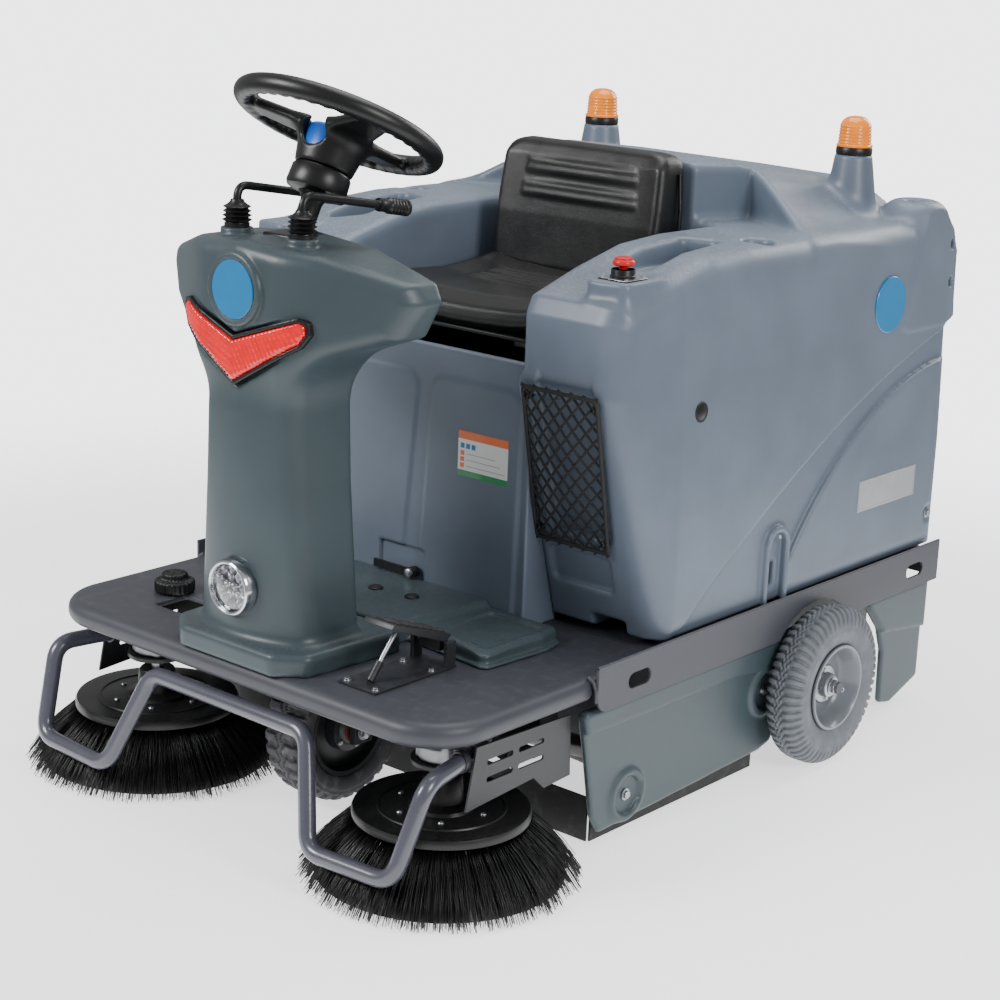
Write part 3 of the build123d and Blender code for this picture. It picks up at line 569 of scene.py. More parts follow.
# ------------------------------------------------------------------ Geometry Nodes
class Recipe:
    """Builds one Geometry Nodes tree and bakes it into a plain mesh."""

    def __init__(self, name: str, inputs: dict[str, float]) -> None:
        """Starts a tree with named number inputs."""
        self.tree = bpy.data.node_groups.new(name, "GeometryNodeTree")
        self.values = inputs
        face = self.tree.interface
        face.new_socket("Geometry", in_out="INPUT", socket_type="NodeSocketGeometry")
        face.new_socket("Geometry", in_out="OUTPUT", socket_type="NodeSocketGeometry")
        self.sockets = {key: face.new_socket(key, in_out="INPUT", socket_type="NodeSocketFloat")
            for key in inputs}
        self.inputs = self.tree.nodes.new("NodeGroupInput")
        self.output = self.tree.nodes.new("NodeGroupOutput")

    def add(self, kind: str, settings: dict[str, Any] | None = None, **links: Any) -> bpy.types.Node:
        """Adds a node, with settings first and then the values or links of its sockets.

        Args:
            kind: the node's type, without its common prefix.
            settings: properties of the node.
            **links: values or source sockets by the input's name, with _ for a space.

        Returns:
            The node.
        """
        known = kind if kind.startswith(("GeometryNode", "FunctionNode",
            "ShaderNode")) else "GeometryNode" + kind
        node = self.tree.nodes.new(known)
        for key, value in (settings or {}).items():
            setattr(node, key, value)
        for key, value in links.items():
            wanted = key.replace("_", " ")
            socket = next((s for s in node.inputs if s.name == wanted and s.enabled), None)
            if socket is None:
                socket = node.inputs[int(key[1:])]
            if isinstance(value, bpy.types.NodeSocket):
                self.tree.links.new(value, socket)
            else:
                socket.default_value = value
        return node

    def value(self, key: str) -> bpy.types.NodeSocket:
        """The socket of a named input."""
        return self.inputs.outputs[key]

    def finish(self, geometry: bpy.types.NodeSocket, material: bpy.types.Material) -> None:
        """Ends the tree in Realize Instances and Set Material."""
        real = self.add("RealizeInstances", Geometry=geometry)
        painted = self.add("SetMaterial", Geometry=real.outputs[0], Material=material)
        self.tree.links.new(painted.outputs[0], self.output.inputs[0])

    def bake(self, name: str, base: bpy.types.Object) -> bpy.types.Object:
        """Runs the tree on a base object and returns the plain mesh.

        Args:
            name: the name of the new piece.
            base: the object whose geometry feeds the tree; it is removed.

        Returns:
            The new object.
        """
        modifier = base.modifiers.new("recipe", "NODES")
        modifier.node_group = self.tree
        for key, value in self.values.items():
            modifier[self.sockets[key].identifier] = float(value)
        graph = bpy.context.evaluated_depsgraph_get()
        mesh = bpy.data.meshes.new_from_object(base.evaluated_get(graph))
        mesh.name = name
        base.modifiers.clear()
        bpy.data.objects.remove(base)
        piece = bpy.data.objects.new(name, mesh)
        bpy.context.scene.collection.objects.link(piece)
        return piece


def point_cloud(name: str, spots: Sequence[Point], normals: Sequence[Point]) -> bpy.types.Object:
    """Loose points with a direction each, for a recipe to place things on."""
    mesh = bpy.data.meshes.new(name)
    mesh.from_pydata([tuple(s) for s in spots], [], [])
    heading = mesh.attributes.new("heading", "FLOAT_VECTOR", "POINT")
    heading.data.foreach_set("vector", np.asarray(normals, np.float32).ravel())
    piece = bpy.data.objects.new(name, mesh)
    bpy.context.scene.collection.objects.link(piece)
    return piece


def scatter(name: str, shape: bpy.types.Object, spots: Sequence[Point], headings: Sequence[Point],
        material: bpy.types.Material, sides: Sequence[Point] | None = None,
        scales: Sequence[float] | None = None) -> bpy.types.Object:
    """Repeats one shape at many places with Geometry Nodes.

    Args:
        name: the name of the new piece.
        shape: the shape about the origin, +Z its heading and +X its side; it is removed.
        spots: where the copies go.
        headings: where each copy's +Z points.
        material: what the copies are made of.
        sides: where each copy's +X points, as nearly as its heading lets it.
        scales: the size of each copy.

    Returns:
        One object with every copy in it.
    """
    cloud = point_cloud(name + "_spots", spots, headings)
    recipe = Recipe(name + "_recipe", {"Scale": 1.0})
    heading = recipe.add("InputNamedAttribute", {"data_type": "FLOAT_VECTOR"}, Name="heading")
    turn = recipe.add("FunctionNodeAlignRotationToVector", {"axis": "Z"}, Vector=heading.outputs[0])
    scale = recipe.value("Scale")
    if sides is not None:
        side = cloud.data.attributes.new("side", "FLOAT_VECTOR", "POINT")
        side.data.foreach_set("vector", np.asarray(sides, np.float32).ravel())
        sideways = recipe.add("InputNamedAttribute", {"data_type": "FLOAT_VECTOR"}, Name="side")
        turn = recipe.add("FunctionNodeAlignRotationToVector", {"axis": "X", "pivot_axis": "Z"},
            Rotation=turn.outputs[0], Vector=sideways.outputs[0])
    if scales is not None:
        size = cloud.data.attributes.new("size", "FLOAT", "POINT")
        size.data.foreach_set("value", np.asarray(scales, np.float32))
        sizes = recipe.add("InputNamedAttribute", {"data_type": "FLOAT"}, Name="size")
        scale = recipe.add("ShaderNodeMath", {"operation": "MULTIPLY"}, i0=sizes.outputs[0],
            i1=scale).outputs[0]
    source = recipe.add("ObjectInfo", {"transform_space": "ORIGINAL"}, Object=shape)
    points = recipe.add("MeshToPoints", Mesh=recipe.inputs.outputs[0])
    copies = recipe.add("InstanceOnPoints", Points=points.outputs[0], Instance=source.outputs["Geometry"],
        Rotation=turn.outputs[0], Scale=scale)
    recipe.finish(copies.outputs[0], material)
    piece = recipe.bake(name, cloud)
    bpy.data.objects.remove(shape)
    return piece


# ------------------------------------------------------------------ shader sums
class Wire:
    """A number that travels between shader nodes and takes part in Python sums."""

    def __init__(self, board: "Board", socket: bpy.types.NodeSocket) -> None:
        """Wraps a socket."""
        self.board = board
        self.socket = socket

    def _sum(self, operation: str, a: Any, b: Any) -> "Wire":
        node = self.board.node("Math", {"operation": operation}, i0=a, i1=b)
        return Wire(self.board, node.outputs[0])

    def __add__(self, other: Any) -> "Wire":
        """This plus other."""
        return self._sum("ADD", self, other)

    __radd__ = __add__

    def __mul__(self, other: Any) -> "Wire":
        """This times other."""
        return self._sum("MULTIPLY", self, other)

    __rmul__ = __mul__

    def __sub__(self, other: Any) -> "Wire":
        """This minus other."""
        return self._sum("SUBTRACT", self, other)

    def __rsub__(self, other: Any) -> "Wire":
        """Other minus this."""
        return self._sum("SUBTRACT", other, self)

    def size(self) -> "Wire":
        """This without its sign."""
        return self._sum("ABSOLUTE", self, 0.0)

    def over(self, low: float, high: float) -> "Wire":
        """0 below low and 1 above high, smooth between."""
        node = self.board.node("MapRange", {"interpolation_type": "SMOOTHSTEP"}, Value=self, From_Min=low,
            From_Max=high)
        return Wire(self.board, node.outputs[0])


class Board:
    """One material's node tree."""

    def __init__(self, name: str) -> None:
        """Starts a material with a Principled shader."""
        self.material = bpy.data.materials.new(name)
        self.material.use_nodes = True
        self.tree = self.material.node_tree
        self.shader = self.tree.nodes["Principled BSDF"]
        self.place = self.node("TexCoord").outputs["Object"]

    def node(self, kind: str, settings: dict[str, Any] | None = None, **links: Any) -> bpy.types.Node:
        """Adds a shader node.

        Args:
            kind: the node's type, without its common prefix.
            settings: properties of the node, set before anything else.
            **links: values or sources by the input's name, with _ for a space, or i and its number.

        Returns:
            The node.
        """
        node = self.tree.nodes.new("ShaderNode" + kind)
        for key, value in (settings or {}).items():
            if key == "stops":
                ramp = node.color_ramp
                while len(ramp.elements) < len(value):
                    ramp.elements.new(0.5)
                for element, (place, colour) in zip(ramp.elements, value):
                    element.position = place
                    element.color = (*colour, 1)
            else:
                setattr(node, key, value)
        for key, value in links.items():
            numbered = key[0] == "i" and key[1:].isdigit()
            socket = node.inputs[int(key[1:])] if numbered else next(s for s in node.inputs
                if s.name == key.replace("_", " ") and s.enabled)
            self.feed(socket, value)
        return node

    def feed(self, socket: bpy.types.NodeSocket, value: Any) -> None:
        """Links or sets one input."""
        if isinstance(value, Wire):
            value = value.socket
        if isinstance(value, bpy.types.NodeSocket):
            self.tree.links.new(value, socket)
        elif socket.type == "RGBA":
            socket.default_value = (*value[:3], 1)
        else:
            socket.default_value = value

    def noise(self, grain: float, detail: float = 3.0, stretch: Point = (1, 1, 1),
            seed: float = 0.0) -> Wire:
        """Smooth random numbers whose lumps are about grain metres wide."""
        spot = self.node("Mapping", None, Vector=self.place, Location=(seed, seed * 0.7, -seed),
            Scale=stretch)
        node = self.node("TexNoise", None, Vector=spot.outputs[0], Scale=1.0 / grain, Detail=detail,
            Roughness=0.55)
        return Wire(self, node.outputs["Fac"])

    def cells(self, grain: float, feature: str = "F1", stretch: Point = (1, 1, 1)) -> Wire:
        """The distance to scattered cell centres that are about grain metres apart."""
        spot = self.node("Mapping", None, Vector=self.place, Scale=stretch)
        node = self.node("TexVoronoi", {"feature": feature}, Vector=spot.outputs[0], Scale=1.0 / grain)
        return Wire(self, node.outputs["Distance"])

    def axis(self, letter: str) -> Wire:
        """One coordinate in metres."""
        return Wire(self, self.node("SeparateXYZ", None, i0=self.place).outputs["xyz".index(letter)])

    def facing(self, letter: str) -> Wire:
        """One component of the surface's direction."""
        normal = self.node("NewGeometry").outputs["Normal"]
        return Wire(self, self.node("SeparateXYZ", None, i0=normal).outputs["xyz".index(letter)])

    def edges(self) -> Wire:
        """1 on outer edges and 0 elsewhere, from how pointed the surface is."""
        pointed = Wire(self, self.node("NewGeometry").outputs["Pointiness"])
        return pointed.over(0.52, 0.60)

    def mix(self, share: Any, first: Any, second: Any) -> bpy.types.NodeSocket:
        """A colour between two colours."""
        node = self.node("Mix", {"data_type": "RGBA"}, i0=share, i6=first, i7=second)
        return node.outputs[2]

    def dented(self, height: Wire, depth: float,
            after: bpy.types.NodeSocket | None = None) -> bpy.types.NodeSocket:
        """A bump of a real depth in metres, over an earlier bump if one is given."""
        node = self.node("Bump", None, Strength=1.0, Distance=depth, Height=height)
        if after is not None:
            self.feed(node.inputs["Normal"], after)
        return node.outputs[0]

    def finish(self, **values: Any) -> bpy.types.Material:
        """Sets the shader's inputs, given by name with _ for a space."""
        for key, value in values.items():
            self.feed(self.shader.inputs[key.replace("_", " ")], value)
        return self.material


Colour = tuple[float, float, float]


def rgb(red: int, green: int, blue: int) -> Colour:
    """A colour from its 0 to 255 screen values."""
    return tuple(((v / 255 + 0.055) / 1.055) ** 2.4 if v > 10 else v / 255 / 12.92 for v in (red, green,
        blue))


def shade(colour: Colour, factor: float) -> Colour:
    """A colour made lighter or darker."""
    return tuple(min(1.0, c * factor) for c in colour)


@dataclass(frozen=True)
class MouldedPlastic:
    """Rotomoulded plastic: a fine pebble, slow mottling and a little dust."""

    name: str
    colour: Colour
    roughness: float = 0.42
    pebble: float = 0.0016
    depth: float = 0.00012
    dust: float = 0.25

    def make(self) -> bpy.types.Material:
        """Builds the material."""
        board = Board(self.name)
        slow = board.noise(0.18, 4)
        fine = board.noise(self.pebble, 2)
        speck = board.noise(0.006, 3, seed=3.0)
        base = board.mix(slow.over(0.25, 0.75), shade(self.colour, 0.90), shade(self.colour, 1.09))
        base = board.mix(board.edges() * 0.35, base, shade(self.colour, 1.35))
        settled = board.facing("z").over(0.6, 1.0) * speck.over(0.42, 0.70) * self.dust
        base = board.mix(settled, base, (0.42, 0.42, 0.40))
        rough = slow * 0.10 + fine * 0.06 + settled * 0.3 + (self.roughness - 0.08)
        waves = board.dented(slow, 0.0006)
        normal = board.dented(fine, self.depth, waves)
        return board.finish(Base_Color=base, Roughness=rough, Normal=normal, Specular_IOR_Level=0.45)


@dataclass(frozen=True)
class PowderCoat:
    """Powder-coated or enamelled steel, with orange peel and worn edges."""

    name: str
    colour: Colour
    roughness: float = 0.5
    grain: float = 0.0022
    depth: float = 0.00016
    wear: float = 0.5
    coat: float = 0.0

    def make(self) -> bpy.types.Material:
        """Builds the material."""
        board = Board(self.name)
        fine = board.noise(self.grain, 2)
        slow = board.noise(0.09, 4, seed=1.0)
        chips = board.noise(0.004, 4, seed=5.0)
        base = board.mix(slow.over(0.3, 0.7), shade(self.colour, 0.95), shade(self.colour, 1.05))
        worn = board.edges() * chips.over(0.50, 0.62) * self.wear
        base = board.mix(worn, base, shade(self.colour, 2.0))
        dust = board.facing("z").over(0.7, 1.0) * board.noise(0.02, 5, seed=8.0).over(0.45, 0.75)
        base = board.mix(dust * 0.05, base, (0.35, 0.34, 0.32))
        rough = slow * 0.12 + (self.roughness - 0.06)
        return board.finish(Base_Color=base, Roughness=rough, Normal=board.dented(fine, self.depth),
            Coat_Weight=self.coat, Coat_Roughness=0.15)


@dataclass(frozen=True)
class BareMetal:
    """Plated, cast or polished metal."""

    name: str
    colour: Colour
    roughness: float = 0.3
    grain: float = 0.0012
    depth: float = 0.00004
    stretch: Point = (1, 1, 1)

    def make(self) -> bpy.types.Material:
        """Builds the material."""
        board = Board(self.name)
        fine = board.noise(self.grain, 3, self.stretch)
        slow = board.noise(0.03, 4)
        base = board.mix(slow.over(0.3, 0.75), shade(self.colour, 0.75), self.colour)
        rough = slow * 0.18 + fine * 0.08 + (self.roughness - 0.1)
        return board.finish(Base_Color=base, Metallic=1.0, Roughness=rough,
            Normal=board.dented(fine, self.depth))


@dataclass(frozen=True)
class Rubber:
    """Tyre or flap rubber with scuffs, patches of dust, and painted shade darkening its low places."""

    name: str
    colour: Colour
    roughness: float = 0.75
    dust: Colour = (0.30, 0.29, 0.27)
    dusty: float = 0.3

    def make(self) -> bpy.types.Material:
        """Builds the material."""
        board = Board(self.name)
        fine = board.noise(0.0012, 3)
        slow = board.noise(0.03, 5, seed=2.0)
        base = board.mix(slow.over(0.35, 0.7), shade(self.colour, 0.85), shade(self.colour, 1.12))
        # painted shade: hollow, low-pointiness places such as tread grooves are darkened to a deeper tone
        # of the rubber
        low = 1.0 - Wire(board, board.node("NewGeometry").outputs["Pointiness"]).over(0.40, 0.52)
        base = board.mix(low * 0.5, base, shade(self.colour, 0.55))
        base = board.mix(slow.over(0.5, 0.8) * self.dusty, base, self.dust)
        rough = slow * 0.15 + (self.roughness - 0.07)
        return board.finish(Base_Color=base, Roughness=rough, Normal=board.dented(fine, 0.00015))


@dataclass(frozen=True)
class Vinyl:
    """Black seat vinyl with a leather grain."""

    name: str
    colour: Colour
    roughness: float = 0.38

    def make(self) -> bpy.types.Material:
        """Builds the material."""
        board = Board(self.name)
        cell = board.cells(0.0028, "DISTANCE_TO_EDGE")
        fine = board.noise(0.0009, 2)
        slow = board.noise(0.06, 4)
        base = board.mix(slow.over(0.3, 0.7), shade(self.colour, 0.8), shade(self.colour, 1.3))
        rough = slow * 0.12 + (self.roughness - 0.05)
        normal = board.dented(cell.over(0.0, 0.22), 0.00010, board.dented(slow, 0.0012))
        normal = board.dented(fine, 0.00003, normal)
        return board.finish(Base_Color=base, Roughness=rough, Normal=normal, Specular_IOR_Level=0.5)


@dataclass(frozen=True)
class Lens:
    """Coloured or clear lamp plastic."""

    name: str
    colour: Colour
    roughness: float = 0.08
    clear: float = 0.6
    glow: float = 0.0

    def make(self) -> bpy.types.Material:
        """Builds the material."""
        board = Board(self.name)
        slow = board.noise(0.02, 2)
        base = board.mix(slow.over(0.3, 0.7), shade(self.colour, 0.85), self.colour)
        return board.finish(Base_Color=base, Roughness=self.roughness, Transmission_Weight=self.clear,
            IOR=1.45, Emission_Color=base, Emission_Strength=self.glow, Coat_Weight=0.5,
            Normal=board.dented(board.noise(0.004, 1), 0.0001))


@dataclass(frozen=True)
class PrintedFilm:
    """A plain printed film with soft bands of a second colour, for badges and plates."""

    name: str
    colour: Colour
    second: Colour
    roughness: float = 0.3

    def make(self) -> bpy.types.Material:
        """Builds the material."""
        board = Board(self.name)
        slow = board.noise(0.05, 3)
        base = board.mix(slow.over(0.4, 0.6) * 0.25, self.colour, self.second)
        return board.finish(Base_Color=base, Roughness=slow * 0.1 + self.roughness, Coat_Weight=0.4,
            Normal=board.dented(board.noise(0.0012, 2), 0.00002))


@dataclass(frozen=True)
class Backdrop:
    """The pale floor, which fades into the pale air away from the machine."""

    name: str
    white: float
    solid_to: float
    gone_at: float
    glow: float

    def make(self) -> bpy.types.Material:
        """Builds the material."""
        board = Board(self.name)
        x, y = board.axis("x"), board.axis("y")
        away = board.node("Math", {"operation": "SQRT"}, i0=x * x + y * y)
        fade = 1.0 - Wire(board, away.outputs[0]).over(self.solid_to, self.gone_at)
        tone = (self.white, self.white, self.white)
        return board.finish(Base_Color=tone, Roughness=0.9, Alpha=fade, Emission_Color=tone,
            Emission_Strength=self.glow, Specular_IOR_Level=0.1)


class Paint(Enum):
    """Every finish of the machine."""

    BODY = MouldedPlastic("body_blue_grey", rgb(97, 108, 122), 0.38)
    TRIM = MouldedPlastic("trim_teal_grey", rgb(58, 71, 76), 0.40, 0.0022, 0.00012, 0.06)
    DECK = PowderCoat("deck_powder_coat", rgb(58, 60, 67), 0.46, 0.0022, 0.00008, 0.3)
    BUMPER = PowderCoat("bumper_enamel", rgb(70, 71, 82), 0.28, 0.004, 0.00005, 0.25, 0.5)
    BLACK = MouldedPlastic("black_plastic", rgb(14, 14, 15), 0.38, 0.0012, 0.00006, 0.03)
    BLACK_STEEL = PowderCoat("black_steel", rgb(38, 39, 42), 0.42)
    GREY_TYRE = Rubber("grey_tyre", rgb(102, 107, 113), 0.66, (0.26, 0.26, 0.26), 0.2)
    BLACK_TYRE = Rubber("dark_tyre", rgb(66, 66, 70), 0.7, (0.30, 0.29, 0.28), 0.35)
    RIM = PowderCoat("rim_enamel", rgb(104, 109, 115), 0.32, 0.004, 0.00006, 0.2, 0.4)
    ZINC = BareMetal("zinc_steel", rgb(188, 190, 194), 0.32)
    CAST = BareMetal("cast_alloy", rgb(176, 178, 182), 0.5, 0.0018, 0.0002)
    CHROME = BareMetal("chrome_trim", rgb(225, 226, 230), 0.12, 0.004, 0.00001)
    CLEAR = Lens("clear_lens", (0.97, 0.98, 1.0), 0.02, 1.0)
    RED_LENS = Lens("red_lens", (0.85, 0.002, 0.006), 0.10, 0.05, 0.16)
    AMBER = Lens("amber_lens", (1.0, 0.26, 0.0005), 0.14, 0.04, 0.20)
    SEAT = Vinyl("seat_vinyl", rgb(15, 15, 15), 0.33)
    RUBBER = Rubber("flap_rubber", rgb(32, 32, 33), 0.7, (0.2, 0.2, 0.2), 0.2)
    BRISTLE = Rubber("bristle", rgb(13, 13, 14), 0.36, (0.04, 0.04, 0.04), 0.1)
    NET = Rubber("elastic_net", rgb(28, 28, 30), 0.75, (0.12, 0.12, 0.12), 0.1)
    BADGE = PrintedFilm("badge_blue", rgb(0, 112, 168), rgb(0, 120, 178))
    PLATE = PrintedFilm("name_plate", rgb(150, 153, 156), rgb(170, 172, 175))
    DECAL_WHITE = PrintedFilm("decal_white", rgb(222, 222, 220), rgb(205, 208, 210))
    DECAL_ORANGE = PrintedFilm("decal_orange", rgb(226, 116, 66), rgb(216, 100, 56))
    DECAL_GREEN = PrintedFilm("decal_green", rgb(36, 138, 82), rgb(30, 120, 72))
    RED = MouldedPlastic("signal_red", (0.62, 0.004, 0.008), 0.32, 0.004, 0.00003, 0.0)
    CAP = MouldedPlastic("cap_blue", rgb(10, 96, 200), 0.30, 0.003, 0.00003, 0.0)
    BATTERY = MouldedPlastic("battery_case", rgb(60, 62, 66), 0.5)
    FILTER = Rubber("filter_paper", rgb(214, 206, 186), 0.9, (0.4, 0.38, 0.34), 0.4)
    SEAL = Rubber("seal_red_brown", rgb(112, 52, 44), 0.6, (0.2, 0.15, 0.12), 0.2)
    FLOOR = Backdrop("studio_floor", 0.90, 1.5, 3.2, 1.25)


MADE: dict[Paint, bpy.types.Material] = {}


def material_of(paint: Paint) -> bpy.types.Material:
    """The material of a finish, built once."""
    if paint not in MADE:
        MADE[paint] = paint.value.make()
    return MADE[paint]


def dress(piece: bpy.types.Object, paint: Paint) -> bpy.types.Object:
    """Gives a whole piece one finish."""
    piece.data.materials.clear()
    piece.data.materials.append(material_of(paint))
    return piece


def settle_piece(piece: bpy.types.Object, body: str, slot: str, *nodes: str) -> bpy.types.Object:
    """Puts a finished piece on its body and hides the nodes it stands for.

    Args:
        piece: the finished piece.
        body: the body it rides on.
        slot: the record's material slot of its finish; not used.
        *nodes: the nodes it replaces.

    Returns:
        The same piece.
    """
    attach(piece, body)
    if nodes:
        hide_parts(*nodes)
    LOG.info("%s: %d faces on %s", piece.name, len(piece.data.polygons), body)
    return piece


# ------------------------------------------------------------------ studio
@dataclass
class Studio:
    """The camera, the pale floor and the soft lights."""

    camera_at: Point = (2.774747, -3.296970, 1.695933)
    camera_right: Point = (0.75659229, 0.65277112, 0.03818337)
    camera_up: Point = (-0.20245325, 0.17832759, 0.96291846)
    lens_mm: float = 78.92
    floor_half: float = 4.0
    air_tone: Colour = (0.96, 0.965, 0.975)
    air_seen: float = 3.6
    air_light: float = 0.45

    def build(self) -> None:
        """Makes the floor, the camera and the lights."""
        s = self.floor_half
        floor = new_piece("studio_floor", [(-s, -s, 0), (s, -s, 0), (s, s, 0), (-s, s, 0)], [[0, 1, 2, 3]],
            False)
        dress(floor, Paint.FLOOR)
        right = Vector(self.camera_right).normalized()
        up = Vector(self.camera_up).normalized()
        back = right.cross(up).normalized()
        data = bpy.data.cameras.new("studio_camera")
        data.lens = self.lens_mm
        data.sensor_width = 36.0
        data.clip_end = 150.0
        camera = bpy.data.objects.new("studio_camera", data)
        camera.matrix_world = Matrix(((right.x, up.x, back.x, self.camera_at[0]),
            (right.y, up.y, back.y, self.camera_at[1]), (right.z, up.z, back.z, self.camera_at[2]),
            (0, 0, 0, 1)))
        bpy.context.scene.collection.objects.link(camera)
        bpy.context.scene.camera = camera
        self.light("key_panel", (-1.6, -3.4, 3.0), (0.0, -0.2, 0.6), 1.5, 150)
        self.light("side_panel", (3.6, -0.6, 2.4), (0.2, 0.2, 0.6), 1.4, 80)
        self.light("top_panel", (0.0, 0.6, 3.4), (0.0, 0.1, 0.0), 2.2, 60)
        self.light("rear_panel", (0.6, 3.6, 2.6), (0.1, 0.3, 0.9), 1.8, 60)
        self.air()

    def air(self) -> None:
        """Makes the pale surroundings: bright behind the machine, softer as a light."""
        world = bpy.data.worlds.new("studio_air")
        world.use_nodes = True
        nodes, links = world.node_tree.nodes, world.node_tree.links
        seen = nodes["Background"]
        seen.inputs["Color"].default_value = (*self.air_tone, 1)
        seen.inputs["Strength"].default_value = self.air_seen
        soft = nodes.new("ShaderNodeBackground")
        soft.inputs["Color"].default_value = (*self.air_tone, 1)
        soft.inputs["Strength"].default_value = self.air_light
        path, mix = nodes.new("ShaderNodeLightPath"), nodes.new("ShaderNodeMixShader")
        links.new(path.outputs["Is Camera Ray"], mix.inputs[0])
        links.new(soft.outputs[0], mix.inputs[1])
        links.new(seen.outputs[0], mix.inputs[2])
        links.new(mix.outputs[0], nodes["World Output"].inputs[0])
        bpy.context.scene.world = world

    def light(self, name: str, place: Point, target: Point, size: float, watts: float) -> None:
        """Adds one soft panel light."""
        data = bpy.data.lights.new(name, "AREA")
        data.shape = "SQUARE"
        data.size = size
        data.energy = watts
        lamp = bpy.data.objects.new(name, data)
        lamp.location = place
        lamp.rotation_euler = (Vector(target) - Vector(place)).to_track_quat("-Z", "Y").to_euler()
        bpy.context.scene.collection.objects.link(lamp)


# ------------------------------------------------------------------ moulded body
def circle_through(a: tuple[float, float], b: tuple[float, float], c: tuple[float, float]) -> tuple[float,
        float, float]:
    """The centre and radius of the circle through three points."""
    (ax, ay), (bx, by), (cx, cy) = a, b, c
    d = 2 * (ax * (by - cy) + bx * (cy - ay) + cx * (ay - by))
    u = ((ax ** 2 + ay ** 2) * (by - cy) + (bx ** 2 + by ** 2) * (cy - ay) + (cx ** 2 + cy ** 2)
        * (ay - by)) / d
    v = ((ax ** 2 + ay ** 2) * (cx - bx) + (bx ** 2 + by ** 2) * (ax - cx) + (cx ** 2 + cy ** 2)
        * (bx - ax)) / d
    return u, v, math.hypot(ax - u, ay - v)


def console_face(z: float) -> float:
    """The Y of the consoles' sloping front at a height."""
    return CONSOLE_FOOT[0] - (z - CONSOLE_FOOT[1]) * CONSOLE_LEAN


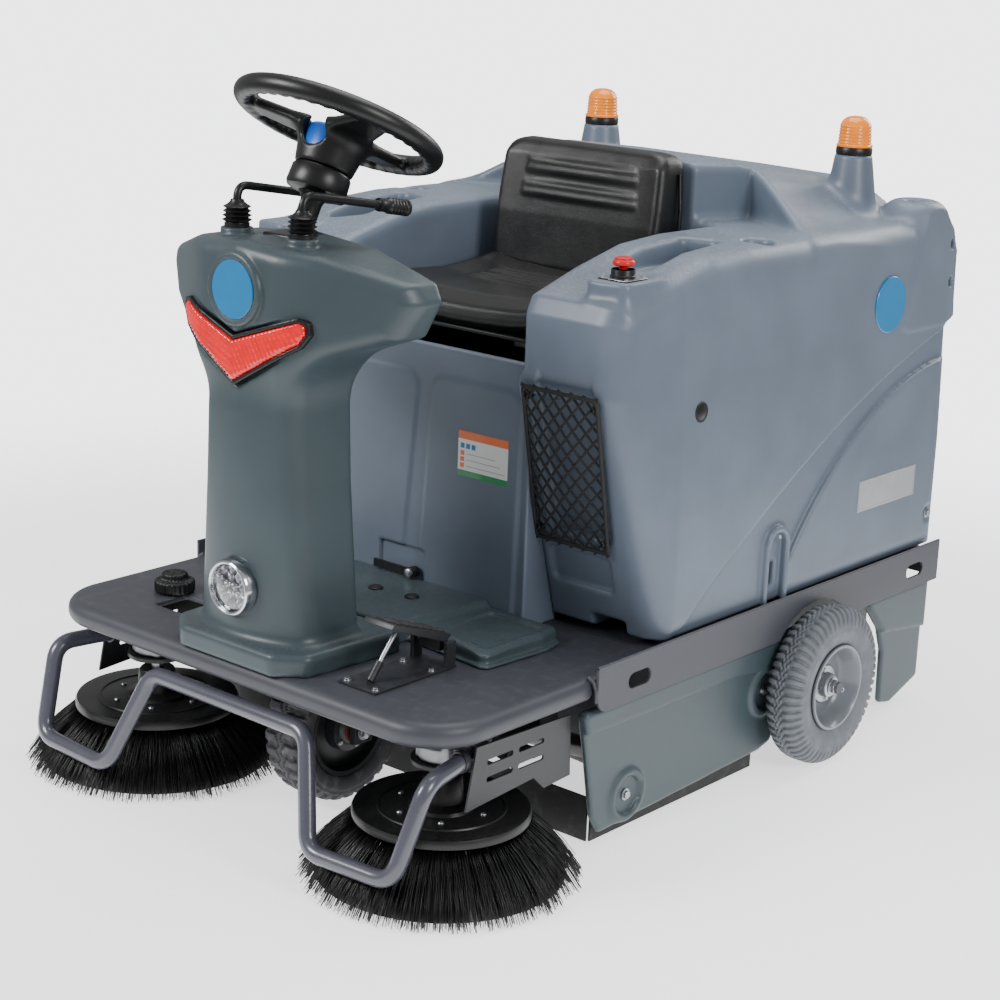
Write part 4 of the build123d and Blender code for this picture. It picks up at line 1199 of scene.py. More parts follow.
@dataclass
class BodyShell:
    """The rotomoulded rear body: two consoles, the seat well and the rear hump."""

    half_w: float = 0.525
    base: float = 0.3434
    rear: float = 0.852
    inner: float = 0.262
    well_floor: float = 0.858
    well_rear: float = 0.300
    top: float = 1.074
    hump: float = 1.195
    hump_fall: float = 0.14
    band_depth: float = 0.011
    post: Point = (0.336, 0.693, 1.196)
    step: float = 0.0060
    upper_arc: tuple = ((-0.098, 0.366), (0.256, 0.606), (0.811, 0.837))
    lower_arc: tuple = ((0.279, 0.462), (0.502, 0.668), (0.839, 0.775))

    def side_profile(self) -> Field:
        """The body seen from its side, with rounded edges."""
        line = [(-0.146, self.base), (-0.283, 0.830), (-0.284, 0.965), (-0.268, 0.999), (-0.150, 1.036),
            (-0.02, 1.068), (0.10, 1.076), (0.62, 1.072), (self.rear, 1.066), (self.rear, self.base)]
        return prism("x", line, -self.half_w - 0.2, self.half_w + 0.2, 0.012, 0.001)

    def hump_field(self) -> Field:
        """The arched block behind the seat, falling to the rear."""
        line = [(-0.50, 1.00), (-0.50, 1.056), (-0.46, 1.076), (-0.41, 1.100), (-0.36, 1.130),
            (-0.31, 1.160), (-0.262, 1.182), (-0.19, 1.191), (0, self.hump), (0.19, 1.191), (0.262, 1.182),
            (0.31, 1.160), (0.36, 1.130), (0.41, 1.100), (0.46, 1.076), (0.50, 1.056), (0.50, 1.00)]
        arch = prism("y", line, 0.0, 1.2, 0.006, 0.002)
        fall = self.hump_fall

        def at(x: Array, y: Array, z: Array) -> Array:
            lifted = z + np.maximum(y - 0.40, 0) * fall
            body = arch.at(x, y, np.maximum(lifted, 1.03))
            ax = np.abs(x)
            facing = (0.430 - y - (ax - 0.262) * 0.49) / 1.11
            middle = np.maximum(0.292 - y, ax - 0.262 + (0.430 - y) * 0.34)
            front = np.minimum(facing, middle)
            block = np.maximum(body, np.maximum(y - self.rear + 0.004, 1.02 - z))
            return -soft_min(-block, -front, 0.016)

        return Field(at)

    def bands(self) -> Field:
        """The curved recessed band on each flank."""
        u1, v1, r1 = circle_through(*self.upper_arc)
        u2, v2, r2 = circle_through(*self.lower_arc)
        skin = self.half_w - self.band_depth

        def at(x: Array, y: Array, z: Array) -> Array:
            upper = np.hypot(y - u1, z - v1) - r1
            lower = r2 - np.hypot(y - u2, z - v2)
            flank = np.maximum(np.maximum(upper, lower), skin - x - np.maximum(z - 0.60, 0) * 0.030)
            notch = np.maximum(np.abs(z - 0.812) - 0.026, self.rear - self.band_depth - y)
            return np.minimum(flank, notch)

        return Field(at)

    def front_recesses(self) -> Field:
        """The pockets in the sloping front of each console."""

        def sunk(x0: float, x1: float, z0: float, z1: float, depth: float, taper: float) -> Field:
            low, high = console_face(z0), console_face(z1)
            slope = (high - low) / (z1 - z0)

            def at(x: Array, y: Array, z: Array) -> Array:
                into = y - (low + slope * (z - z0))
                narrowing = np.clip((z - z0) / (z1 - z0), 0, 1) * taper
                side = np.maximum(x0 + narrowing - x, x - x1 + narrowing)
                ends = np.maximum(z0 - z, z - z1)
                flat = np.hypot(np.maximum(side + 0.012, 0), np.maximum(ends + 0.012, 0)) - 0.012
                flat = np.where((side < -0.012) & (ends < -0.012), np.maximum(side, ends), flat)
                return np.maximum(flat + into * 0.25, into - depth)

            return Field(at)

        pocket = sunk(0.289, 0.437, 0.548, 0.815, 0.022, -0.004)
        above = sunk(0.300, 0.438, 0.820, 0.905, 0.010, 0.012)
        below = sunk(0.278, 0.424, 0.440, 0.512, 0.010, 0.0)
        return pocket | above | below

    def build(self) -> bpy.types.Object:
        """Makes the whole shell."""
        lean = Field(lambda x, y, z: (np.abs(x) - self.half_w + np.maximum(z - 0.60, 0) * 0.030
            + np.maximum(-0.12 - y, 0) * 0.16))
        shell = self.side_profile().trim(lean, 0.055)
        stop_boss = prism("z", [(0.384, -0.262), (0.474, -0.250), (0.474, -0.13), (0.384, -0.13)], 0.95,
            1.0395, 0.018, 0.007).twin()
        shell = shell.blend(stop_boss, 0.018)
        well = slab(-self.inner, self.inner, -0.60, self.well_rear - 0.008, self.well_floor, 1.5, 0.004)
        shell = shell.carve(well, 0.030)
        shell = shell.blend(self.hump_field(), 0.020)
        shell = shell.carve(slab(-self.inner + 0.012, self.inner - 0.012, -0.60, 0.288, self.well_floor,
            1.5, 0.004), 0.02)
        front_gap = slab(-self.inner, self.inner, -0.60, -0.2335, 0.1, 1.5, 0.001)
        under = slab(-self.inner, self.inner, -0.60, 0.24, 0.1, self.well_floor - 0.007, 0.001)
        shell = shell - front_gap - under
        x, y, z = self.post
        post = rod("z", (x, y), 0.062, 1.04, z, 0.004, 0.0385).twin()
        shell = shell.blend(post, 0.030)
        bump = rod("z", (0.448, 0.772), 0.150, 0.86, 1.108, 0.026, 0.060).twin()
        shell = shell.blend(bump & Field(lambda a, b, c: np.maximum(np.abs(a) - 0.523 + np.maximum(c - 0.60,
            0) * 0.030, b - self.rear + 0.001)), 0.022)
        tray = prism("z", [(0.338, -0.075), (0.416, -0.132), (0.416, 0.124), (0.338, 0.100)], 1.024, 1.3,
            0.020, 0.012).twin()
        cup = rod("z", (0.447, 0.189), 0.030, 1.046, 1.3, 0.004, 0.034).twin()
        lifting = rod("z", (0.452, 0.757), 0.017, 1.075, 1.3, 0.002).twin()
        shell = shell.carve(tray, 0.014).carve(cup, 0.010).carve(lifting, 0.006)
        for height in (1.018, 0.938):
            shell = shell.carve(rod("x", (0.826, height), 0.011, 0.490, 0.6, 0.001).twin(), 0.003)
        shell = shell.carve(self.bands().twin(), 0.004)
        shell = shell.carve(self.front_recesses().twin(), 0.006)
        latch_rim = capsule_slot("x", (0.224, 0.372), (0.224, 0.478), 0.040, 0.45,
            self.half_w + 0.001).twin()
        latch = capsule_slot("x", (0.224, 0.372), (0.224, 0.474), 0.029, self.half_w - 0.016, 0.6).twin()
        hole = slab(self.half_w - 0.040, 0.6, 0.206, 0.236, 0.392, 0.440, 0.006).twin()
        shell = shell.blend(latch_rim, 0.005).carve(latch, 0.004).carve(hole, 0.002)
        notch = slab(0.366, 0.440, -0.30, -0.085, 0.2, 0.384, 0.004).twin()
        shell = shell.carve(notch, 0.010)
        bolt_seat = rod("x", (0.806, 0.435), 0.018, self.half_w - 0.004, 0.6, 0.001).twin()
        shell = shell.carve(bolt_seat, 0.004)
        shell = shell & slab(-0.6, 0.6, -0.4, 0.9, self.base, 1.4, 0.001)
        shell = shell.carve(slab(-0.518, 0.518, -0.20, 0.845, 0.1, 0.360, 0.001), 0.002)
        piece = moulded("body_moulding", shell, (-0.54, -0.30, 0.335), (0.54, 0.86, 1.21), self.step)
        dress(piece, Paint.BODY)
        return settle_piece(piece, "machine", "body_plastic", "body_shell")


# ------------------------------------------------------------------ small hardware by recipe
def hex_bolt(radius: float, height: float, washer: float) -> bpy.types.Object:
    """A small bolt head on its washer, drawn upwards from the origin."""
    r, h = radius, height
    profile = [(0, 0), (washer, 0), (washer, h * 0.22), (r * 1.02, h * 0.26), (r, h * 0.9), (r * 0.9, h),
        (0, h)]
    head = revolve("bolt_shape", profile, "z", (0, 0, 0), 24)
    mesh = bmesh.new()
    mesh.from_mesh(head.data)
    for vert in mesh.verts:
        flat = math.hypot(vert.co.x, vert.co.y)
        if vert.co.z > h * 0.24 and flat > 1e-6:
            turn = math.atan2(vert.co.y, vert.co.x) % (math.pi / 3) - math.pi / 6
            pull = math.cos(math.pi / 6) / math.cos(turn)
            vert.co.x *= pull
            vert.co.y *= pull
    mesh.to_mesh(head.data)
    mesh.free()
    return head


def socket_screw(radius: float, height: float) -> bpy.types.Object:
    """A small domed screw with a hexagon socket, drawn upwards from the origin."""
    r, h = radius, height
    profile = [(0, h * 0.35), (r * 0.42, h * 0.35), (r * 0.48, h), (r * 0.75, h * 0.92), (r, h * 0.5),
        (r, 0), (0, 0)]
    return revolve("screw_shape", profile, "z", (0, 0, 0), 12)


# ------------------------------------------------------------------ deck, rails, skirts, bumper
@dataclass
class Deck:
    """The step-through deck with its rolled lip."""

    half_w: float = 0.522
    front: float = -0.762
    rear: float = -0.150
    top: float = 0.343
    lip: float = 0.046
    plate: float = 0.012
    corner: float = 0.118
    step: float = 0.0042

    def build(self) -> None:
        """Makes the deck and the cap of the filler beside the column."""
        line = [(-self.half_w, self.front), (self.half_w, self.front), (self.half_w, 0.1),
            (-self.half_w, 0.1)]
        under = [(-self.half_w + 0.020, self.front + 0.020), (self.half_w - 0.020, self.front + 0.020),
            (self.half_w - 0.020, 0.15), (-self.half_w + 0.020, 0.15)]
        deck = prism("z", line, self.top - self.lip, self.top, self.corner, 0.021)
        deck = deck - prism("z", under, 0.1, self.top - self.plate, self.corner - 0.02, 0.012)
        behind = slab(0, 1.0, -0.352, 0.3, 0.1, self.top - self.plate, 0.001).twin()
        deck = deck - behind - slab(-1, 1, self.rear, 0.4, 0.1, 0.6, 0.001)
        deck = deck.carve(slab(-0.332, -0.234, -0.640, -0.560, 0.2, 0.6, 0.012), 0.006)
        deck = deck - rod("z", (0, -0.475), 0.0226, 0.2, 0.6)
        piece = moulded("deck_plate", deck, (-0.53, -0.77, 0.29), (0.53, -0.148, 0.347), self.step)
        dress(piece, Paint.DECK)
        settle_piece(piece, "machine", "frame_paint", "front_deck")
        knob = rod("z", (-0.365, -0.562), 0.040, self.top - 0.0, self.top + 0.026, 0.006)
        knob = knob.blend(rod("z", (-0.365, -0.562), 0.026, self.top + 0.02, self.top + 0.040, 0.006),
            0.008)
        ribs = Field(lambda x, y, z: -0.0014 + 0.0014 * np.cos(np.arctan2(y + 0.562, x + 0.365) * 24) + 0
            * z)
        knob = Field(lambda x, y, z, k=knob, r=ribs: k.at(x, y, z) - 0.6 * r.at(x, y, z))
        cap = moulded("round_cap", knob, (-0.41, -0.61, 0.340), (-0.32, -0.515, 0.387), 0.0025)
        settle_piece(dress(cap, Paint.BLACK), "machine", "black_plastic")


@dataclass
class Chassis:
    """The welded side rails and members, and the seam beads."""

    def build(self) -> None:
        """Makes the frame from its CAD shape with softened edges."""
        frame_piece = from_cad("chassis", "chassis_frame", 0.0012, 1)
        settle_piece(dress(frame_piece, Paint.DECK), "machine", "frame_paint", "chassis_frame")
        bead = [tube("bead", [(s * 0.5315, -0.352, 0.300), (s * 0.5325, -0.353, 0.322),
            (s * 0.525, -0.353, 0.338), (s * 0.512, -0.353, 0.3445)], 0.0035, 0.01, 10) for s in (-1, 1)]
        edge = [tube("edge", [(s * 0.5330, -0.352, 0.3655), (s * 0.5330, 0.852, 0.3655)], 0.0030, 0, 10)
            for s in (-1, 1)]
        welds = join("rail_beads", bead + edge)
        settle_piece(dress(welds, Paint.DECK), "machine", "frame_paint")


@dataclass
class Skirt:
    """One moulded side skirt around the rear wheel."""

    side: str
    out: float = 0.520
    thick: float = 0.024
    top: float = 0.276
    step: float = 0.0050

    def build(self) -> None:
        """Makes the skirt with the bosses for its bolts."""
        front = [(-0.364, self.top), (-0.346, 0.200), (-0.318, 0.060), (-0.296, 0.022), (0.226, 0.040),
            (0.268, 0.050), (0.281, 0.075), (0.283, 0.130), (0.298, 0.215), (0.316, 0.256),
            (0.33, self.top)]
        rear = [(0.600, self.top), (0.618, 0.250), (0.668, 0.196), (0.690, 0.140), (0.694, 0.020),
            (0.740, 0.010), (0.850, 0.046), (0.850, self.top)]
        x0, x1 = self.out - self.thick, self.out
        skirt = prism("x", front, x0, x1, 0.012, 0.008) | prism("x", rear, x0, x1, 0.010, 0.008)
        skirt = skirt | slab(x0, x0 + 0.006, 0.28, 0.69, 0.254, self.top, 0.001)
        low_front = prism("x", [(-0.40, 0.232), (0.130, 0.226), (0.300, 0.205), (0.33, 0.02), (-0.40, 0.0)],
            x1 - 0.010, x1 + 0.02, 0.02, 0.001)
        low_rear = prism("x", [(0.66, 0.190), (0.90, 0.158), (0.90, 0.0), (0.66, 0.0)], x1 - 0.010,
            x1 + 0.02, 0.01, 0.001)
        skirt = skirt.carve(low_front, 0.005).carve(low_rear, 0.005)
        for y, z in ((-0.216, 0.076), (0.231, 0.168)):
            skirt = skirt.blend(rod("x", (y, z), 0.050, x0 + 0.004, x1 - 0.004, 0.004), 0.012)
            skirt = skirt.carve(rod("x", (y, z), 0.037, x1 - 0.013, x1 + 0.03, 0.002), 0.006)
            skirt = skirt.carve(slab(x1 - 0.012, x1 + 0.02, y - 0.004, y + 0.045, z - 0.022, z + 0.018,
                0.01), 0.006)
        skirt = skirt & slab(0.4, 0.5205, -0.4, 0.8505, 0, 0.2765, 0.001)
        solid = skirt.twin()
        low, high = (x0 - 0.004, -0.37, 0.005), (x1 + 0.004, 0.856, 0.28)
        if self.side == "right":
            low, high = (-high[0], low[1], low[2]), (-low[0], high[1], high[2])
        piece = moulded("side_skirt_" + self.side, solid, low, high, self.step)
        settle_piece(dress(piece, Paint.TRIM), "machine", "trim_plastic", "skirt_" + self.side)


@dataclass
class Bumper:
    """The bent tube in front of the brushes, with its clamps."""

    radius: float = 0.016

    def build(self) -> None:
        """Makes the tube, its end caps and saddle clamps."""
        half = [(0.205, -0.756, 0.262), (0.272, -0.815, 0.074), (0.468, -0.809, 0.078),
            (0.492, -0.754, 0.248), (0.460, -0.610, 0.250)]
        points = [(-x, y, z) for x, y, z in reversed(half)] + half
        pipe = tube("bumper", points, self.radius, 0.046, 32)
        settle_piece(dress(pipe, Paint.BUMPER), "machine", "bumper_paint", "bumper_tube")
        parts = [from_cad("brackets", "deck_brackets", 0.0015)]
        for s in (-1, 1):
            for y in (-0.592, -0.640):
                parts.append(revolve("band", [(0.0163, -0.007), (0.0195, -0.007), (0.0195, 0.007),
                    (0.0163, 0.007)], "y", (s * (0.460 + (y + 0.61) * -0.22 if y < -0.61 else 0.460), y,
                    0.250), 32, True))
        clamps = join("tube_clamps", parts)
        settle_piece(dress(clamps, Paint.BLACK_STEEL), "machine", "black_steel", "deck_brackets")


# ------------------------------------------------------------------ front column
@dataclass
class FrontColumn:
    """The steering column with its flared foot and winged head."""

    front: float = -0.744
    top: float = 1.103
    step: float = 0.0048
    badge_z: float = 1.018
    lamp_z: float = 0.478
    lever_x: float = 0.082
    lever_y: float = -0.663

    def field(self) -> Field:
        """The column's moulded shape."""
        stem_line = [(0.150, 0.30), (0.142, 0.386), (0.117, 0.673), (0.108, 0.887), (0.108, 1.0),
            (-0.108, 1.0), (-0.108, 0.887), (-0.117, 0.673), (-0.142, 0.386), (-0.150, 0.30)]
        stem = prism("y", stem_line, -0.80, -0.560, 0.004, 0.012)
        head_line = [(0.308, 1.018), (0.292, 1.050), (0.150, 1.090), (0.0, self.top), (-0.150, 1.090),
            (-0.292, 1.050), (-0.308, 1.018), (-0.272, 0.952), (-0.09, 0.885), (0.09, 0.885),
            (0.272, 0.952)]
        head = prism("y", head_line, -0.80, -0.540, 0.014, 0.014)
        solid = stem.blend(head, 0.085)
        bow = 0.245

        def bowed(x: Array, y: Array, z: Array) -> Array:
            centre = self.front + 0.006 + bow + 0.022 * np.clip((z - 0.80) / 0.3, 0, 1)
            return np.hypot(x, np.minimum(y, centre - 0.02) - centre) - bow

        swept = Field(lambda x, y, z: (-(y - self.front) + sweep_back(x)) / 1.2)
        cheeks = Field(bowed)
        soft = Field(lambda x, y, z: blend_by(z, 0.80, 0.90, cheeks.at(x, y, z), swept.at(x, y, z)))
        solid = solid.trim(soft, 0.030)
        tips = Field(lambda x, y, z: (np.abs(x) - 0.318 - (y + 0.60) * 0.20) / 1.02)
        solid = solid.trim(tips, 0.02)
        foot = prism("z", [(-0.118, -0.764), (0.118, -0.764), (0.172, -0.722), (0.186, -0.484),
            (-0.186, -0.484), (-0.172, -0.722)], 0.330, 0.384, 0.026, 0.013)
        return solid.blend(foot, 0.022)

    def build(self) -> None:
        """Makes the column and everything on its face."""
        solid = self.field()
        ring = rod("y", (0, self.badge_z), 0.0645, -0.80, self.front + 0.02, 0.004)
        plate = rod("y", (0, self.badge_z), 0.0535, -0.80, self.front - 0.0030, 0.001)
        solid = solid.blend(ring & slab(-0.1, 0.1, self.front - 0.006, -0.70, 0.9, 1.13, 0.001), 0.006)
        solid = solid.carve(plate, 0.003)
        gasket = prism("y", self.chevron(0.010), -0.80, self.front + 0.012, 0.008, 0.001)
        solid = solid.carve(gasket, 0.006)
        lamp_seat = rod("y", (0, self.lamp_z), 0.0535, -0.80, self.front + 0.008, 0.001)
        solid = solid.carve(lamp_seat, 0.006)
        inner = rod("y", (0, self.lamp_z), 0.044, -0.80, -0.700, 0.001)
        solid = solid - inner
        for s in (-1, 1):
            boss = rod("z", (s * self.lever_x, self.lever_y), 0.029, 1.06, 1.1095, 0.003)
            solid = solid.blend(boss, 0.006)
        neck_well = rod("z", (0, -0.600), 0.040, 1.095, 1.2, 0.002)
        solid = solid.carve(neck_well, 0.008)
        solid = solid & Field(lambda x, y, z: 0.3434 - z + 0 * x)
        hollow = slab(-0.100, 0.100, -0.680, -0.575, 0.1, 1.06, 0.02)
        piece = moulded("column_moulding", solid - hollow, (-0.33, -0.785, 0.335), (0.33, -0.475, 1.14),
            self.step)
        settle_piece(dress(piece, Paint.TRIM), "machine", "trim_plastic", "front_column")
        self.lamp()
        self.chevron_lamp()

    def chevron(self, grow: float) -> list[tuple[float, float]]:
        """The V outline of the position lamp, drawn outwards by an amount."""
        line = [(0, 0.857), (0.138, 0.938), (0.151, 0.958), (0.149, 0.974), (0.136, 0.977), (0, 0.930),
            (-0.136, 0.977), (-0.149, 0.974), (-0.151, 0.958), (-0.138, 0.938)]
        return inset(line, -grow)

    def chevron_lamp(self) -> None:
        """Makes the red lamp with its reflector ribs and its black gasket."""
        face = Field(lambda x, y, z: -(y - self.front + 0.009) + sweep_back(x) * 0.85)
        glass = prism("y", self.chevron(0.0), -0.80, -0.63, 0.004, 0.001).trim(face, 0.010)

        def ribbed(x: Array, y: Array, z: Array) -> Array:
            along = np.abs(x) * 0.86 + (z - 0.9) * 0.5
            rib = 0.0005 * np.cos(along * 2 * math.pi / 0.009) + 0.0003 * np.cos((z - np.abs(x) * 0.36)
                * 560)
            return glass.at(x, y, z) + rib

        lens = moulded("chevron_glass", Field(ribbed), (-0.155, -0.77, 0.85), (0.155, -0.66, 0.99), 0.0026)
        settle_piece(dress(lens, Paint.RED_LENS), "machine", "red_lens", "chevron_lamp")
        rim = prism("y", self.chevron(0.0075), -0.80, -0.62, 0.008, 0.001) - prism("y",
            self.chevron(0.0005), -0.90, -0.5, 0.004, 0.001)
        rim = rim & Field(lambda x, y, z: face.at(x, y, z) + 0.004)
        black = moulded("chevron_gasket", rim, (-0.17, -0.77, 0.84), (0.17, -0.66, 1.0), 0.0026)
        settle_piece(dress(black, Paint.BLACK), "machine", "black_plastic")

    def lamp(self) -> None:
        """Makes the headlight: bezel, reflector cells and cover glass."""
        y = self.front
        bezel = revolve("bezel", [(0.0430, -0.004), (0.0445, -0.013), (0.0475, -0.0145), (0.0505, -0.012),
            (0.0525, -0.004), (0.0525, 0.010), (0.0430, 0.010)], "y", (0, y, self.lamp_z), 96, True)
        bezel = bevelled("headlight_ring", bezel, 0.0004)
        settle_piece(dress(bezel, Paint.CHROME), "machine", "chrome_trim", "headlight_bezel")
        bowl = revolve("bowl", [(0.0, 0.030), (0.020, 0.030), (0.036, 0.018), (0.0428, 0.0),
            (0.0428, 0.034), (0.0, 0.034)], "y", (0, y, self.lamp_z), 64)
        cell = revolve("cell", [(0.0, 0.004), (0.0026, 0.0036), (0.0072, 0.019), (0.0082, 0.020),
            (0.0082, 0.0), (0.0, 0.0)], "z", (0, 0, 0), 16)
        spots = [(0, y + 0.026, self.lamp_z)]
        spots += [(0.0185 * math.cos(k * math.pi / 3), y + 0.026, self.lamp_z + 0.0185
            * math.sin(k * math.pi / 3)) for k in range(6)]
        spots += [(0.0335 * math.cos((k + 0.5) * math.pi / 5), y + 0.020, self.lamp_z + 0.0335
            * math.sin((k + 0.5) * math.pi / 5)) for k in range(10)]
        cells = scatter("headlight_cells", cell, spots, [(0, -1, 0)] * len(spots),
            material_of(Paint.CHROME))
        reflector = join("headlight_reflector", [dress(bowl, Paint.CHROME), cells])
        settle_piece(reflector, "machine", "chrome_trim")
        glass = revolve("headlight_glass", [(0.0, -0.0125), (0.016, -0.0120), (0.030, -0.0100),
            (0.0428, -0.0065), (0.0428, -0.0035), (0.030, -0.007), (0.0, -0.0095)], "y",
            (0, y, self.lamp_z), 64)
        settle_piece(dress(glass, Paint.CLEAR), "machine", "clear_lens", "headlight_lens")


def sweep_back(x: Array) -> Array:
    """How far the head's face stands back from its middle."""
    aside = np.maximum(np.abs(x) - 0.085, 0)
    return np.minimum(np.abs(x), 0.10) * 0.08 + 0.64 * (np.hypot(aside, 0.035) - 0.035)


def blend_by(z: Array, low: float, high: float, first: Array, second: Array) -> Array:
    """Goes smoothly from the first distance below low to the second above high."""
    t = np.clip((z - low) / (high - low), 0, 1)
    t = t * t * (3 - 2 * t)
    return first * (1 - t) + second * t


# ------------------------------------------------------------------ tunnel cover and seat panel
@dataclass
class TunnelCover:
    """The low moulded cover between the column and the seat panel."""

    base: float = 0.3434
    top: float = 0.386
    wing_top: float = 0.374
    step: float = 0.0042

    def build(self) -> None:
        """Makes the cover and its two plugs."""
        centre = prism("z", [(-0.150, -0.483), (0.150, -0.483), (0.182, -0.242), (-0.182, -0.242)], 0.30,
            self.top, 0.010, 0.009)
        wing = prism("z", [(0.10, -0.430), (0.352, -0.454), (0.362, -0.300), (0.350, -0.243),
            (0.10, -0.243)], 0.30, self.wing_top, 0.014, 0.009).twin()
        slope = Field(lambda x, y, z: (z - 0.420 + np.maximum(np.abs(x) - 0.10, 0) * 0.16
            + np.maximum(-0.30 - y, 0) * 0.10))
        cover = centre.blend(wing, 0.012).trim(slope, 0.004)
        panel = prism("z", [(0.205, -0.412), (0.334, -0.428), (0.340, -0.268), (0.205, -0.268)], 0.3685,
            0.5, 0.014, 0.001).twin()
        cover = cover.carve(panel, 0.005)
        edge = prism("z", [(0.10, -0.440), (0.362, -0.464), (0.372, -0.300), (0.360, -0.2435),
            (0.10, -0.2435)], 0.30, self.base + 0.006, 0.016, 0.002).twin()
        cover = cover.blend(edge, 0.005)
        cover = cover & Field(lambda x, y, z: self.base - z + 0 * x)
        cover = cover & slab(-0.4, 0.4, -0.484, -0.2425, 0.3, 0.5, 0.001)
        piece = moulded("tunnel_moulding", cover, (-0.38, -0.49, 0.338), (0.38, -0.238, 0.392), self.step)
        settle_piece(dress(piece, Paint.TRIM), "machine", "trim_plastic", "tunnel_cover")
        plug = revolve("plug", [(0, 0.006), (0.010, 0.0055), (0.0145, 0.003), (0.0150, 0.0), (0, 0)], "z",
            (0, 0, 0), 20)
        spots = [(-0.019, -0.352, 0.3855), (0.067, -0.341, 0.3855)]
        plugs = scatter("tunnel_plugs", plug, spots, [(0, 0, 1)] * 2, material_of(Paint.BLACK))
        settle_piece(plugs, "machine", "black_plastic")


@dataclass
class SeatPanel:
    """The removable cover below the seat, with its groove and lever recess."""

    half: float = 0.2612
    front: float = -0.2405
    top: float = 0.8572
    base: float = 0.3438
    step: float = 0.0050

    def build(self) -> None:
        """Makes the panel and its plain decal."""
        panel = slab(-self.half, self.half, self.front, -0.222, self.base, self.top, 0.003)
        sides = slab(self.half - 0.006, self.half, -0.238, -0.14, self.base, 0.817, 0.001).twin()
        rib = prism("y", [(-0.060, 0.343), (-0.235, 0.343), (-0.225, 0.80), (-0.020, 0.80)],
            self.front - 0.004, -0.23, 0.03, 0.003)
        rib = rib | prism("y", [(-0.010, 0.343), (0.235, 0.343), (0.240, 0.80), (0.016, 0.80)],
            self.front - 0.004, -0.23, 0.03, 0.003)
        solid = (panel | sides).blend(rib, 0.006)
        recess = slab(-0.112, 0.006, -0.30, self.front + 0.0035, 0.38, 0.444, 0.003)
        solid = solid.carve(recess, 0.004)
        solid = solid & slab(-self.half, self.half, self.front - 0.005, -0.14, self.base, self.top, 0.001)
        piece = moulded("seat_front_panel", solid, (-0.27, -0.25, 0.335), (0.27, -0.135, 0.865), self.step)
        settle_piece(dress(piece, Paint.BODY), "machine", "body_plastic", "seat_panel")
        self.decal()

    def decal(self) -> None:
        """Makes the plain instruction decal: bands of colour and little boxes, with no wording."""
        y = self.front - 0.0042
        parts = []

        def patch(x0: float, x1: float, z0: float, z1: float, lift: float, paint: Paint) -> None:
            piece = box_piece("patch", (x0, y - 0.0006 - lift, z0), (x1, y, z1), 0.0002)
            parts.append(dress(piece, paint))

        patch(0.088, 0.213, 0.617, 0.706, 0.0, Paint.DECAL_WHITE)
        patch(0.088, 0.213, 0.690, 0.706, 0.0002, Paint.DECAL_ORANGE)
        patch(0.088, 0.213, 0.617, 0.629, 0.0002, Paint.DECAL_GREEN)
        for i in range(3):
            patch(0.094, 0.104, 0.634 + 0.012 * i, 0.643 + 0.012 * i, 0.0002, Paint.DECAL_ORANGE)
            patch(0.110, 0.206 - 0.012 * i, 0.637 + 0.012 * i, 0.6385 + 0.012 * i, 0.0002, Paint.PLATE)
        for i in range(3):
            patch(0.094 + 0.014 * i, 0.104 + 0.014 * i, 0.672, 0.682, 0.0002, Paint.BADGE)
        decal = join("panel_decal", parts)
        settle_piece(decal, "machine", "body_plastic")


